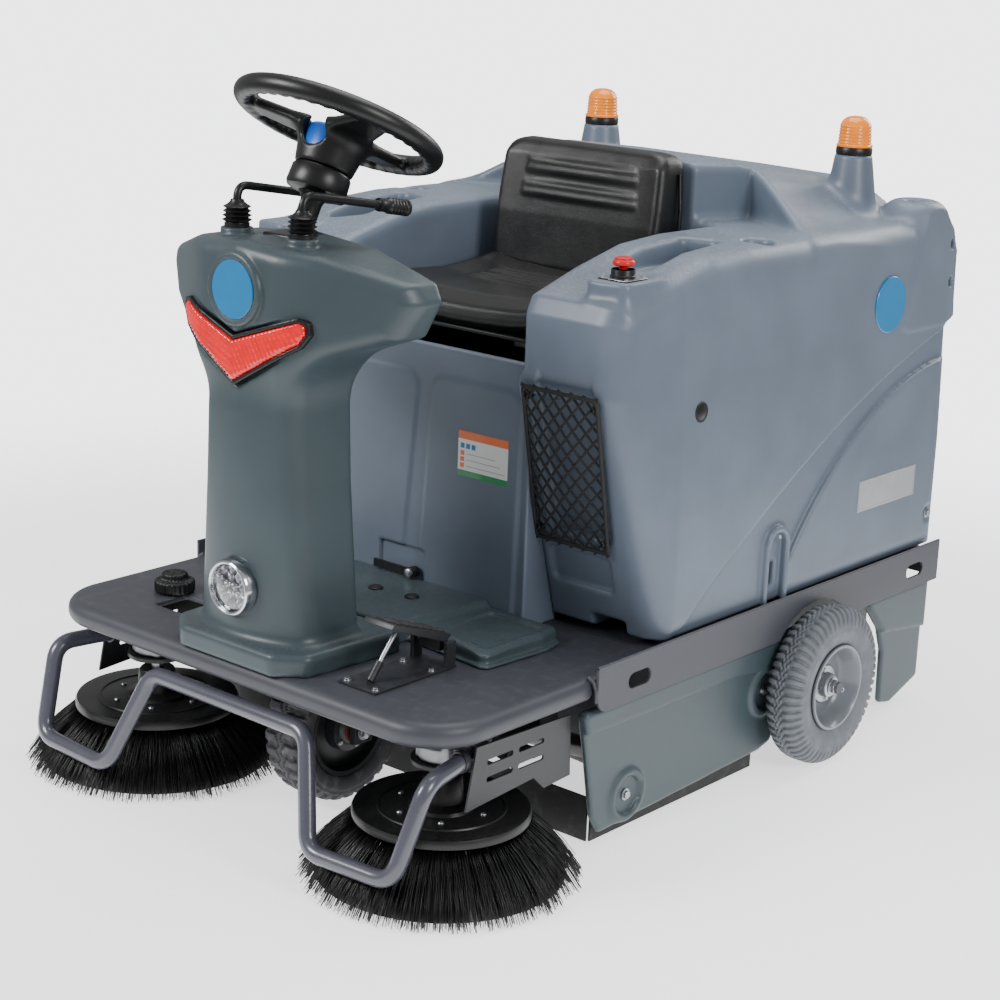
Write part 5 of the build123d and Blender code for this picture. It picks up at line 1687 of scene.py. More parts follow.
# ------------------------------------------------------------------ labels, trim and small parts
@dataclass
class Trim:
    """Badges, name plates, plugs, screws and other small parts on the mouldings."""

    flank: float = 0.525

    def build(self) -> None:
        """Makes every small part."""
        front = revolve("front_badge", [(0, -0.0012), (0.0505, -0.0012), (0.0518, 0.0), (0.0518, 0.002),
            (0, 0.002)], "y", (0, -0.7485, 1.018), 64)
        parts = [front]
        for s in (-1, 1):
            parts.append(revolve("side_badge", [(0, s * 0.0012), (0.0565, s * 0.0012), (0.0580, 0.0),
                (0.0580, s * -0.004), (0, s * -0.004)], "x", (s * (self.flank - 0.0075), 0.586, 0.916), 64))
        badges = join("round_badges", [dress(p, Paint.BADGE) for p in parts])
        plates = []
        for s in (-1, 1):
            x = s * (self.flank + 0.0012)
            plates.append(box_piece("plate", (min(x, x - s * 0.003), 0.508, 0.490),
                (max(x, x - s * 0.003), 0.733, 0.556), 0.0008))
            rim = tube("rim", [(x, 0.511, 0.493), (x, 0.730, 0.493), (x, 0.730, 0.553), (x, 0.511, 0.553)],
                0.0011, 0.004, 8, True)
            plates.append(rim)
        plate = join("name_plates", [dress(p, Paint.PLATE) for p in plates])
        settle_piece(plate, "machine", "badge_blue")
        settle_piece(badges, "machine", "badge_blue", "label_plates")
        self.plugs()
        self.screws()

    def plugs(self) -> None:
        """Makes the black round plugs in the flanks."""
        plug = revolve("plug", [(0, 0.0035), (0.012, 0.003), (0.0150, 0.0015), (0.0190, 0.002),
            (0.0200, 0.0), (0, 0)], "z", (0, 0, 0), 24)
        spots = [(s * (self.flank - 0.0065), -0.063, 0.790) for s in (-1, 1)]
        plugs = scatter("flank_plugs", plug, spots, [(s, 0, 0) for s in (-1, 1)], material_of(Paint.BLACK))
        settle_piece(plugs, "machine", "black_plastic")

    def screws(self) -> None:
        """Makes the visible bolts and screws."""
        x = self.flank
        spots = [(s * (x - 0.004), 0.806, 0.435) for s in (-1, 1)]
        spots += [(s * 0.508, y, z) for s in (-1, 1) for y, z in ((-0.216, 0.076), (0.231, 0.168))]
        bolt = hex_bolt(0.0085, 0.007, 0.0115)
        bolts = scatter("body_bolts", bolt, spots, [(1 if p[0] > 0 else -1, 0, 0) for p in spots],
            material_of(Paint.ZINC))
        small = [(s * (x + 0.0), 0.224, z) for s in (-1, 1) for z in (0.352, 0.496)]
        screw = socket_screw(0.0045, 0.0028)
        screws = scatter("latch_screws", screw, small, [(1 if p[0] > 0 else -1, 0, 0) for p in small],
            material_of(Paint.ZINC))
        pivot = [dress(revolve("pivot", [(0, -0.0085), (0.006, -0.008), (0.009, -0.006), (0.009, -0.0005),
            (0.005, -0.0005), (0.005, 0.022), (0, 0.022)], "y", (-0.014, -0.2615, 0.399), 24), Paint.ZINC)]
        whole = join("machine_screws", [bolts, screws] + pivot)
        settle_piece(whole, "machine", "zinc_steel", "fasteners")


# ------------------------------------------------------------------ cords along lines
def wires(name: str, runs: Sequence[Sequence[Point]], radius: float, sides: int,
        material: bpy.types.Material) -> bpy.types.Object:
    """Draws round cord along many open lines with Geometry Nodes.

    Args:
        name: the name of the new piece.
        runs: the points of each line.
        radius: the cord's radius.
        sides: faces around it.
        material: what it is made of.

    Returns:
        One object with every cord in it.
    """
    verts: list[Point] = []
    edges = []
    for run in runs:
        edges += [(len(verts) + i, len(verts) + i + 1) for i in range(len(run) - 1)]
        verts += list(run)
    mesh = bpy.data.meshes.new(name + "_lines")
    mesh.from_pydata(verts, edges, [])
    base = bpy.data.objects.new(name + "_lines", mesh)
    bpy.context.scene.collection.objects.link(base)
    recipe = Recipe(name + "_recipe", {"Radius": radius})
    lines = recipe.add("MeshToCurve", Mesh=recipe.inputs.outputs[0])
    ring = recipe.add("CurvePrimitiveCircle", {"mode": "RADIUS"}, Resolution=sides)
    recipe.tree.links.new(recipe.value("Radius"), ring.inputs["Radius"])
    cord = recipe.add("CurveToMesh", Curve=lines.outputs[0], Profile_Curve=ring.outputs[0], Fill_Caps=True)
    recipe.finish(cord.outputs[0], material)
    return recipe.bake(name, base)


# ------------------------------------------------------------------ seat
@dataclass
class Seat:
    """The driver's seat: cushion, backrest, pan and rails."""

    half: float = 0.222
    step: float = 0.0042

    def cushion(self) -> None:
        """Makes the lower pad with its rolled front and its ridges."""
        line = [(-0.178, 0.900), (-0.172, 0.932), (-0.130, 0.952), (0.02, 0.944), (0.13, 0.952),
            (0.188, 0.962), (0.188, 0.8845), (-0.150, 0.8845)]
        base = prism("x", line, -self.half, self.half, 0.016, 0.030)
        dished = Field(lambda x, y, z: base.at(x, y, z - 0.012 * np.clip((np.abs(x) - 0.10) / 0.10, 0,
            1) ** 2 + 0.004 * (1 - np.clip(np.abs(x) / 0.10, 0, 1) ** 2)))
        pad = dished
        for y in (0.030, 0.052, 0.092, 0.114):
            z = 0.9415 + max(0.0, y - 0.02) * 0.07
            pad = pad.blend(rod("x", (y, z), 0.0065, -0.130, 0.130, 0.006), 0.010)
        pad = pad & slab(-self.half, self.half, -0.180, 0.188, 0.8843, 1.0, 0.001)
        piece = moulded("cushion_pad", pad, (-0.228, -0.185, 0.878), (0.228, 0.194, 0.985), self.step)
        dress(piece, Paint.SEAT)
        settle_piece(piece, "seat", "seat_vinyl", "seat_cushion")
        seam_line = [(s * (self.half - 0.001), y, z) for s in (1,) for y, z in ((0.180, 0.898),
            (-0.140, 0.898), (-0.166, 0.910), (-0.160, 0.925))]
        runs = []
        for s in (-1, 1):
            runs.append([(s * abs(x), y, z) for x, y, z in seam_line])
        piping = join("cushion_piping", [tube("piping", run, 0.0032, 0.02, 10) for run in runs])
        settle_piece(dress(piping, Paint.SEAT), "seat", "seat_vinyl")

    def backrest(self) -> None:
        """Makes the upper pad with its two pairs of ridges."""
        line = [(0.189, 0.886), (0.184, 0.960), (0.190, 1.060), (0.207, 1.180), (0.222, 1.210),
            (0.246, 1.2155), (0.282, 1.204), (0.280, 1.000), (0.240, 0.886)]
        side = prism("x", line, -self.half + 0.004, self.half - 0.004, 0.022, 0.026)
        face = prism("y", [(0.190, 0.86), (0.217, 0.93), (0.2165, 1.10), (0.206, 1.2165), (-0.206, 1.2165),
            (-0.2165, 1.10), (-0.217, 0.93), (-0.190, 0.86)], 0.10, 0.34, 0.052, 0.004)
        base = side.trim(face, 0.022)
        pad = Field(lambda x, y, z: base.at(x, y + 0.011 * np.clip((np.abs(x) - 0.12) / 0.09, 0, 1) ** 2
            * (y < 0.235) - 0.004 * (1 - np.clip(np.abs(x) / 0.12, 0, 1) ** 2) * (y < 0.235), z))
        for z, half in ((1.1655, 0.138), (1.1500, 0.142), (1.1180, 0.146), (1.1020, 0.148)):
            y = 0.1955 + (z - 1.06) * 0.142
            pad = pad.blend(rod("x", (y, z), 0.0068, -half, half, 0.006), 0.009)
        piece = moulded("backrest_pad", pad, (-0.225, 0.165, 0.878), (0.225, 0.292, 1.222), self.step)
        dress(piece, Paint.SEAT)
        settle_piece(piece, "seat", "seat_vinyl", "seat_backrest")
        runs = []
        for s in (-1, 1):
            runs.append([(s * 0.196, 0.240, 0.900), (s * 0.219, 0.243, 0.960), (s * 0.219, 0.248, 1.100),
                (s * 0.211, 0.252, 1.170)])
        seams = [tube("seam", run, 0.0034, 0.03, 10) for run in runs]
        piping = join("backrest_piping", seams)
        settle_piece(dress(piping, Paint.SEAT), "seat", "seat_vinyl")

    def build(self) -> None:
        """Makes the whole seat."""
        self.cushion()
        self.backrest()
        pan = from_cad("seat_pan_pressing", "seat_pan", 0.002)
        settle_piece(dress(pan, Paint.BLACK_STEEL), "seat", "black_steel", "seat_pan")
        rails = from_cad("seat_slide_rails", "seat_rails", 0.001)
        settle_piece(dress(rails, Paint.ZINC), "machine", "zinc_steel", "seat_rails")


# ------------------------------------------------------------------ steering
@dataclass
class Steering:
    """The handwheel, its cap, the neck cover, the two hand levers and their bellows."""

    centre: Point = (0.0, -0.495, 1.287)
    tilt_deg: float = 26.5
    ring: float = 0.178
    grip: float = 0.0185
    bumps: int = 40
    lever_x: float = 0.082
    lever_y: float = -0.663

    @property
    def pose(self) -> Matrix:
        """The wheel's place: its own +Z is the steering axis."""
        return Matrix.Translation(self.centre) @ Matrix.Rotation(math.radians(-self.tilt_deg), 4, "X")

    def turned(self, piece: bpy.types.Object) -> bpy.types.Object:
        """Moves a mesh that was drawn in the wheel's own frame into the row frame."""
        piece.data.transform(self.pose)
        piece.data.update()
        return piece

    def wheel(self) -> None:
        """Makes the rim with finger grips, the wide spokes and the hub."""

        def rim(x: Array, y: Array, z: Array) -> Array:
            angle = np.arctan2(y, x)
            wave = 0.0011 * np.cos(angle * self.bumps)
            under = np.clip(0.5 - z / 0.012, 0, 1) * np.clip(0.5 + (self.ring - np.hypot(x, y)) / 0.016, 0,
                1)
            return np.hypot(np.hypot(x, y) - self.ring, z + 0.002) - self.grip - wave * under

        solid = Field(rim)
        hub = rod("z", (0, 0), 0.053, -0.088, -0.020, 0.006, 0.066)
        for angle in (90, 203, 337):
            blade = prism("z", [(0.02, -0.050), (0.085, -0.040), (0.178, -0.026), (0.178, 0.026),
                (0.085, 0.040), (0.02, 0.050)], -0.034, -0.014, 0.006, 0.008)
            lift = Matrix.Rotation(math.radians(angle), 4, "Z") @ Matrix.Rotation(math.radians(-7), 4, "Y")
            hub = hub.blend(blade.placed(lift), 0.028)
        window = rod("y", (0.004, -0.030), 0.028, -0.2, -0.015, 0.002)
        hub = hub.carve(window, 0.008)
        solid = solid.blend(hub, 0.012)
        dish = rod("z", (0, 0), 0.0525, -0.064, 0.05, 0.002)
        solid = solid.carve(dish, 0.004)
        solid = solid - rod("z", (0, 0), 0.014, -0.1, 0.1)
        piece = moulded("handwheel_rim", solid, (-0.198, -0.198, -0.092), (0.198, 0.198, 0.020), 0.0036)
        settle_piece(dress(self.turned(piece), Paint.BLACK), "handwheel", "black_plastic", "steering_wheel")
        cap = revolve("handwheel_cap", [(0, -0.012), (0.036, -0.012), (0.046, -0.014), (0.0508, -0.019),
            (0.0516, -0.026), (0.0518, -0.062), (0, -0.062)], "z", (0, 0, 0), 64)
        settle_piece(dress(self.turned(cap), Paint.CAP), "handwheel", "cap_blue", "steering_wheel_cap")

    def neck(self) -> None:
        """Makes the fixed cover below the wheel's hub."""
        profile = [(0.0145, -0.0895), (0.052, -0.0895), (0.0545, -0.093), (0.0560, -0.124),
            (0.0530, -0.130), (0.030, -0.134), (0.0225, -0.142), (0.0200, -0.150), (0.0200, -0.225),
            (0.0145, -0.225)]
        cover = revolve("neck_cover", profile, "z", (0, 0, 0), 48, True)
        cover = self.turned(cover)
        bracket = box_piece("neck_bracket", (-0.034, -0.648, 1.086), (0.034, -0.588, 1.106), 0.004)
        piece = join("steering_neck", [cover, bracket])
        settle_piece(dress(piece, Paint.BLACK), "machine", "black_plastic")

    def levers(self) -> None:
        """Makes both hand levers with ribbed grips, and their bellows."""
        for side, s in (("left", 1), ("right", -1)):
            x = s * self.lever_x
            path = [(x, self.lever_y, 1.096), (x, self.lever_y, 1.184), (x, -0.400, 1.140)]
            parts = [tube("rod", path, 0.0076, 0.022, 16)]
            start = Vector((x, -0.478, 1.1530))
            along = (Vector((x, -0.400, 1.140)) - start)
            ribs = [(0.0, 0.0085), (0.03, 0.0120), (0.10, 0.0125), (0.14, 0.0115), (0.30, 0.0125)]
            for k in range(5):
                t = 0.34 + k * 0.105
                ribs += [(t, 0.0134), (t + 0.03, 0.0146), (t + 0.065, 0.0146), (t + 0.09, 0.0134)]
            ribs += [(0.90, 0.0152), (0.97, 0.0150), (1.0, 0.0125), (1.012, 0.005)]
            handle = revolve("grip", [(0.0, 0.0)] + [(r, t * along.length) for t, r in ribs]
                + [(0.0, 1.013 * along.length)], "z", (0, 0, 0), 24)
            turn = Vector((0, 0, 1)).rotation_difference(along).to_matrix().to_4x4()
            handle.data.transform(Matrix.Translation(start) @ turn)
            parts.append(handle)
            boot = [(0.0070, 1.158), (0.0115, 1.158), (0.0130, 1.154), (0.0185, 1.149)]
            for k in range(4):
                z = 1.149 - k * 0.0078
                boot += [(0.0190 + k * 0.0004, z), (0.0250 + k * 0.0006, z - 0.0036),
                    (0.0190 + k * 0.0004, z - 0.0074)]
            boot += [(0.0205, 1.1170), (0.0225, 1.1165), (0.0228, 1.1090), (0.0070, 1.1090)]
            bellows = revolve("bellows", boot, "z", (x, self.lever_y, 0), 48, True)
            parts.append(bellows)
            piece = join("hand_lever_" + side + "_dressed", parts)
            settle_piece(dress(piece, Paint.BLACK), "hand_lever_" + side, "black_plastic", "lever_" + side)

    def build(self) -> None:
        """Makes everything at the top of the column."""
        self.wheel()
        self.neck()
        self.levers()


# ------------------------------------------------------------------ wheels
@dataclass
class Tread:
    """A tyre drawn as a turned profile whose tread is cut by waves."""

    radius: float
    half: float
    bead: float
    lugs: int
    depth: float
    crown: float = 0.30
    around_steps: int = 840
    across_steps: int = 72
    lag: float = 0.0
    rows: int = 0

    def section(self, t: Array) -> tuple[Array, Array]:
        """Radius and sideways place at t, from one bead (-1) over the crown to the other (1)."""
        side = np.sign(t)
        a = np.abs(t)
        tall = (self.radius - self.bead) / 2
        middle = (self.radius + self.bead) / 2
        flat = self.half * self.crown
        turn = np.clip((a - self.crown * 0.45) / (1 - self.crown * 0.45), 0, 1) * math.radians(158)
        place = np.where(a < self.crown * 0.45, a / (self.crown * 0.45) * flat,
            flat + (self.half - flat) * np.sin(np.minimum(turn, math.pi / 2)) ** 0.92 - (self.half - flat)
            * 0.40 * (np.maximum(turn - math.pi / 2, 0) / 1.19) ** 1.6)
        radius = middle + tall * np.where(turn < math.pi / 2, np.abs(np.cos(turn)) ** 0.80,
            -np.abs(np.cos(turn)) ** 0.95 * 1.06)
        return radius, side * place

    def cut(self, turn: Array, t: Array) -> Array:
        """How deep the tread is cut at an angle and a place across."""
        a = np.abs(t)
        phase = turn * self.lugs + np.where(t > 0, 0, math.pi) + self.lag * np.sin(a * 5.2)
        groove = np.clip((np.cos(phase) + 0.10) / 0.55, 0, 1)
        zone = np.clip((a - 0.085) / 0.03, 0, 1) * np.clip((0.60 - a) / 0.09, 0, 1)
        zone = np.where(self.rows > 0, zone * np.clip(np.abs(a - 0.30) / 0.02, 0, 1), zone)
        zig = 0.035 * np.sin(turn * self.lugs)
        ring = np.clip(1.4 - np.abs(np.abs(t - zig) - 0.055) / 0.012, 0, 1)
        step = np.clip((a - 0.615) / 0.02, 0, 1) * np.clip((0.66 - a) / 0.02, 0, 1) * 0.25
        return self.depth * (np.maximum(groove * zone, ring * 0.8) + step)

    def build(self, name: str, at: Point) -> bpy.types.Object:
        """Makes the tyre about an axle along X."""
        turns = np.arange(self.around_steps) * 2 * math.pi / self.around_steps
        t = np.linspace(-1, 1, self.across_steps + 1)
        radius, place = self.section(t)
        slope_r, slope_a = np.gradient(radius), np.gradient(place)
        length = np.hypot(slope_r, slope_a)
        out_r, out_a = slope_a / length, -slope_r / length
        depth = self.cut(turns[:, None], t[None, :])
        r = radius[None, :] - out_r[None, :] * depth
        a = place[None, :] - out_a[None, :] * depth
        verts = np.stack([at[0] + a, at[1] + r * np.cos(turns)[:, None],
            at[2] + r * np.sin(turns)[:, None]], 2)
        n, m = self.around_steps, self.across_steps + 1
        i, j = np.meshgrid(np.arange(n), np.arange(m), indexing="ij")
        k, l = (i + 1) % n, (j + 1) % m
        faces = np.stack([i * m + j, k * m + j, k * m + l, i * m + l], 2).reshape(-1, 4)
        piece = new_piece(name, verts.reshape(-1, 3).tolist(), faces.tolist())
        mesh = bmesh.new()
        mesh.from_mesh(piece.data)
        bmesh.ops.recalc_face_normals(mesh, faces=mesh.faces)
        mesh.to_mesh(piece.data)
        mesh.free()
        return piece


def around(axis_x: float, centre: tuple[float, float], radius: float, count: int,
        phase: float) -> tuple[list[Point], list[Point]]:
    """Places and outward headings around an axle along X."""
    turns = [2 * math.pi * (k + phase) / count for k in range(count)]
    out = [(0.0, math.cos(t), math.sin(t)) for t in turns]
    spots = [(axis_x, centre[0] + radius * o[1], centre[1] + radius * o[2]) for o in out]
    return spots, out


@dataclass
class RearWheel:
    """A rear wheel: turf tyre, dished rim, bearing flange and nut."""

    side: str
    x: float = 0.564
    y: float = 0.363
    radius: float = 0.165
    lugs: int = 56

    def build(self) -> None:
        """Makes the wheel on its side of the machine."""
        s = 1 if self.side == "left" else -1
        at = (s * self.x, self.y, self.radius)
        tread = Tread(self.radius - 0.0005, 0.0395, 0.0855, self.lugs, 0.0052, lag=0.9)
        parts = [dress(tread.build("carcass", at), Paint.GREY_TYRE)]
        tyre = join("turf_tyre_" + self.side, parts)
        body = "rear_wheel_" + self.side
        settle_piece(tyre, body, "grey_tyre", "rear_tyre_" + self.side)
        self.rim(s, at, body)

    def rim(self, s: int, at: Point, body: str) -> None:
        """Makes the rim, the flange with its screws, and the axle nut."""
        line = [(0.0128, -0.038), (0.026, -0.038), (0.026, -0.008), (0.058, -0.008), (0.068, -0.012),
            (0.076, -0.030), (0.084, -0.037), (0.0885, -0.0375), (0.0895, -0.035), (0.0845, -0.031),
            (0.0840, 0.0), (0.0845, 0.031), (0.0895, 0.035), (0.0885, 0.0385), (0.0835, 0.0385),
            (0.0775, 0.031), (0.072, 0.006), (0.064, -0.0015), (0.052, -0.002), (0.044, 0.001),
            (0.026, 0.001), (0.0245, 0.020), (0.0128, 0.021)]
        rim = revolve("rim", [(r, s * a) for r, a in line], "x", at, 96, True)
        rim = join("rear_rim_" + self.side + "_dressed", [dress(rim, Paint.RIM)])
        settle_piece(rim, body, "rim_paint", "rear_rim_" + self.side)
        flange = revolve("flange", [(r, s * a) for r, a in ((0.0128, 0.001), (0.040, 0.001),
            (0.0405, 0.0035), (0.038, 0.0062), (0.026, 0.0068), (0.0235, 0.0215), (0.0205, 0.0235),
            (0.0128, 0.0235))], "x", at, 64, True)
        spots, _ = around(at[0] + s * 0.006, (at[1], at[2]), 0.032, 4, 0.125)
        screws = scatter("flange_screws", hex_bolt(0.0052, 0.0045, 0.0068), spots, [(s, 0, 0)] * 4,
            material_of(Paint.ZINC))
        cover = join("wheel_flange_" + self.side, [dress(flange, Paint.ZINC), screws])
        settle_piece(cover, body, "zinc_steel")
        nut = scatter("nut", hex_bolt(0.0150, 0.012, 0.0185), [(at[0] + s * 0.0238, at[1], at[2])],
            [(s, 0, 0)], material_of(Paint.ZINC))
        x = at[0] + s * 0.0385
        pin = tube("pin", [(x, at[1] - 0.013, at[2] + 0.010), (x, at[1] + 0.004, at[2] - 0.003),
            (x, at[1] + 0.018, at[2] - 0.014), (x + s * 0.0015, at[1] + 0.020, at[2] - 0.007),
            (x + s * 0.0015, at[1] + 0.006, at[2] + 0.002)], 0.0016, 0.006, 8)
        hardware = join("axle_nut_" + self.side, [nut, dress(pin, Paint.ZINC)])
        settle_piece(hardware, "machine", "zinc_steel")


@dataclass
class FrontWheel:
    """The steered front wheel with its block tread and hub motor."""

    y: float = -0.475
    radius: float = 0.150
    blocks: int = 30

    def build(self) -> None:
        """Makes tyre, rim, hub details and the fork."""
        at = (0.0, self.y, self.radius)
        tread = Tread(self.radius - 0.0005, 0.0495, 0.0990, self.blocks, 0.0075, crown=0.55, rows=1)
        parts = [dress(tread.build("block_carcass", at), Paint.BLACK_TYRE)]
        settle_piece(join("block_tyre", parts), "front_wheel", "black_tyre", "front_tyre")
        half = [(0.0102, 0.056), (0.030, 0.056), (0.033, 0.053), (0.036, 0.046), (0.048, 0.044),
            (0.050, 0.020), (0.056, 0.017), (0.078, 0.017), (0.086, 0.022), (0.090, 0.040),
            (0.0975, 0.0425), (0.0985, 0.041), (0.0960, 0.034)]
        line = half + [(r, -a) for r, a in reversed(half)]
        rim = revolve("hub_rim", line, "x", at, 80, True)
        settle_piece(join("hub_motor_dressed", [dress(rim, Paint.BLACK_STEEL)]), "front_wheel",
            "black_steel", "front_hub_motor")
        trims = []
        for s in (-1, 1):
            seal = revolve("seal", [(0.022, s * 0.0555), (0.029, s * 0.0555), (0.029, s * 0.0585),
                (0.022, s * 0.0585)], "x", at, 48, True)
            trims.append(dress(seal, Paint.SEAL))
            spots, _ = around(s * 0.0455, (at[1], at[2]), 0.0405, 5, 0.0)
            trims.append(scatter("hub_screws", hex_bolt(0.0042, 0.004, 0.0052), spots, [(s, 0, 0)] * 5,
                material_of(Paint.ZINC)))
        settle_piece(join("hub_seals", trims), "front_wheel", "rubber")
        fork = from_cad("fork_dressed", "steering_fork", 0.0015)
        settle_piece(dress(fork, Paint.BLACK_STEEL), "fork", "black_steel", "steering_fork")
        nuts = scatter("fork_nuts", hex_bolt(0.0135, 0.009, 0.0175), [(s * 0.0765, at[1], at[2])
            for s in (-1, 1)], [(s, 0, 0) for s in (-1, 1)], material_of(Paint.ZINC))
        settle_piece(nuts, "fork", "zinc_steel")


# ------------------------------------------------------------------ brushes
@dataclass
class SideBrush:
    """A side brush with its bristles, disc, hub, gearmotor, arm and adjuster."""

    side: str
    x: float = 0.383
    y: float = -0.592
    top: float = 0.131
    reach: float = 0.258
    floor: float = 0.004
    strands: int = 2300

    def bristles(self, s: int, body: str) -> None:
        """Makes the flared skirt of single bristles over a dark core."""
        rng = np.random.default_rng(41 if s > 0 else 42)
        count = self.strands
        share = np.sqrt(rng.random(count))
        start_r = 0.100 + share * 0.052
        turn = rng.random(count) * 2 * math.pi
        start = np.stack([s * self.x + start_r * np.cos(turn), self.y + start_r * np.sin(turn),
            np.full(count, self.top - 0.018)], 1)
        end_r = 0.150 + share * (self.reach - 0.152) + rng.normal(0, 0.0035, count)
        end_r = np.minimum(end_r, self.reach + 0.002)
        end_turn = turn + rng.normal(0, 0.035, count)
        end_z = self.floor + (1 - share) * 0.004 + np.abs(rng.normal(0, 0.003, count))
        end = np.stack([s * self.x + end_r * np.cos(end_turn), self.y + end_r * np.sin(end_turn), end_z], 1)
        along = end - start
        length = np.linalg.norm(along, axis=1)
        out = np.stack([np.cos(turn), np.sin(turn), np.full(count, 0.9)], 1)
        sides, steps = 3, 4
        verts = []
        for k in range(steps + 1):
            t = k / steps
            bow = 0.055 * math.sin(math.pi * t)
            thick = 0.0078 * (1 - 0.35 * t)
            verts += [(bow + thick * math.cos(a), thick * math.sin(a), t) for a in (2 * math.pi * i / sides
                for i in range(sides))]
        faces = [[k * sides + i, k * sides + (i + 1) % sides, (k + 1) * sides + (i + 1) % sides,
            (k + 1) * sides + i] for k in range(steps) for i in range(sides)]
        faces += [[steps * sides + i for i in range(sides)], [i for i in reversed(range(sides))]]
        strand = new_piece("strand", verts, faces)
        tufts = scatter("bristle_strands", strand, start.tolist(), along.tolist(),
            material_of(Paint.BRISTLE), out.tolist(), length.tolist())
        line = [(0.094, self.top - 0.020), (0.146, self.top - 0.020), (0.160, 0.092), (0.190, 0.052),
            (0.226, 0.010), (0.178, 0.010), (0.140, 0.060)]
        core = revolve("core", line, "z", (s * self.x, self.y, 0), 72, True)
        piece = join("bristle_skirt_" + self.side, [tufts, dress(core, Paint.BRISTLE)])
        settle_piece(piece, body, "bristle", "side_bristles_" + self.side)

    def plate(self, s: int, body: str) -> None:
        """Makes the ribbed disc with its raised rings and hub."""
        z = self.top
        line = [(0.013, z - 0.018), (0.153, z - 0.018), (0.1605, z - 0.0165), (0.1612, z - 0.007),
            (0.1585, z - 0.001), (0.150, z), (0.140, z - 0.0005), (0.118, z - 0.0005), (0.1165, z + 0.002),
            (0.112, z + 0.002), (0.1105, z), (0.062, z), (0.059, z + 0.006), (0.050, z + 0.008),
            (0.040, z + 0.012), (0.036, z + 0.052), (0.033, z + 0.056), (0.013, z + 0.056)]
        disc = revolve("disc", line, "z", (s * self.x, self.y, 0), 96, True)
        shaft = revolve("shaft", [(0.0, z + 0.05), (0.012, z + 0.05), (0.012, 0.2375), (0.0, 0.2375)], "z",
            (s * self.x, self.y, 0), 32)
        spots, out = [], []
        for k in range(6):
            t = k * math.pi / 3 + 0.2
            spots.append((s * self.x + 0.085 * math.cos(t), self.y + 0.085 * math.sin(t), z - 0.0005))
            out.append((0, 0, 1))
        screws = scatter("disc_screws", socket_screw(0.006, 0.004), spots, out, material_of(Paint.ZINC))
        piece = join("brush_disc_" + self.side, [dress(disc, Paint.BLACK), dress(shaft, Paint.ZINC),
            screws])
        settle_piece(piece, body, "black_plastic", "side_brush_disc_" + self.side)

    def drive(self, s: int, body: str) -> None:
        """Makes the arm, the ribbed gearmotor, the clip, the knob and the threaded rod."""
        arm = from_cad("brush_arm_dressed_" + self.side, "brush_arm_" + self.side, 0.0014)
        settle_piece(dress(arm, Paint.BLACK_STEEL), body, "black_steel", "brush_arm_" + self.side)
        x, y = s * self.x, self.y
        case = rod("z", (x, y), 0.046, 0.2225, 0.252, 0.004)
        case = case.blend(slab(x - 0.034, x + 0.034, y - 0.030, y + 0.096, 0.2225, 0.262, 0.006), 0.010)
        barrel = rod("y", (x, 0.250), 0.028, y + 0.040, y + 0.130, 0.003)
        case = case.blend(barrel, 0.006)
        for k in range(9):
            fin = rod("y", (x, 0.250), 0.0305, y + 0.062 + k * 0.0070, y + 0.0652 + k * 0.0070, 0.0005)
            case = case | fin
        for dx, dy in ((-0.030, -0.026), (0.030, -0.026), (-0.030, 0.060), (0.030, 0.060)):
            case = case.blend(rod("z", (x + dx, y + dy), 0.009, 0.2225, 0.262, 0.002), 0.004)
        case = case & slab(x - 0.2, x + 0.2, y - 0.2, y + 0.2, 0.2225, 0.290, 0.0005)
        motor = moulded("gearmotor", case, (x - 0.055, y - 0.055, 0.218), (x + 0.055, y + 0.135, 0.284),
            0.0026)
        spots = [(x + dx, y + dy, 0.2615) for dx, dy in ((-0.030, -0.026), (0.030, -0.026), (-0.030, 0.060),
            (0.030, 0.060))]
        screws = scatter("motor_screws", socket_screw(0.0055, 0.0045), spots, [(0, 0, 1)] * 4,
            material_of(Paint.ZINC))
        piece = join("brush_gearmotor_" + self.side, [dress(motor, Paint.CAST), screws])
        settle_piece(piece, body, "cast_alloy", "brush_motor_" + self.side)
        clip_x, clip_y, clip_z = x + s * 0.074, y - 0.030, 0.236
        clip = tube("clip", [(clip_x - s * 0.03, clip_y, clip_z), (clip_x, clip_y, clip_z),
            (clip_x + s * 0.012, clip_y + 0.010, clip_z), (clip_x, clip_y + 0.020, clip_z),
            (clip_x - s * 0.012, clip_y + 0.010, clip_z), (clip_x - s * 0.03, clip_y + 0.016, clip_z)],
            0.0016, 0.008, 8)
        rod_piece = tube("threaded", [(x + s * 0.068, -0.500, 0.232), (x + s * 0.068, -0.395, 0.232)],
            0.0045, 0, 12)
        knob = revolve("knob", [(0.0, 0.0), (0.014, 0.0), (0.017, 0.004), (0.0165, 0.016), (0.012, 0.020),
            (0.0, 0.020)], "y", (x + s * 0.068, -0.520, 0.232), 24)
        hardware = join("brush_adjuster_" + self.side, [dress(clip, Paint.ZINC),
            dress(rod_piece, Paint.ZINC), dress(knob, Paint.BLACK)])
        settle_piece(hardware, body, "zinc_steel")

    def build(self) -> None:
        """Makes the whole brush on its side."""
        s = 1 if self.side == "left" else -1
        spin, lift = "side_brush_" + self.side, "brush_lift_" + self.side
        self.bristles(s, spin)
        self.plate(s, spin)
        self.drive(s, lift)


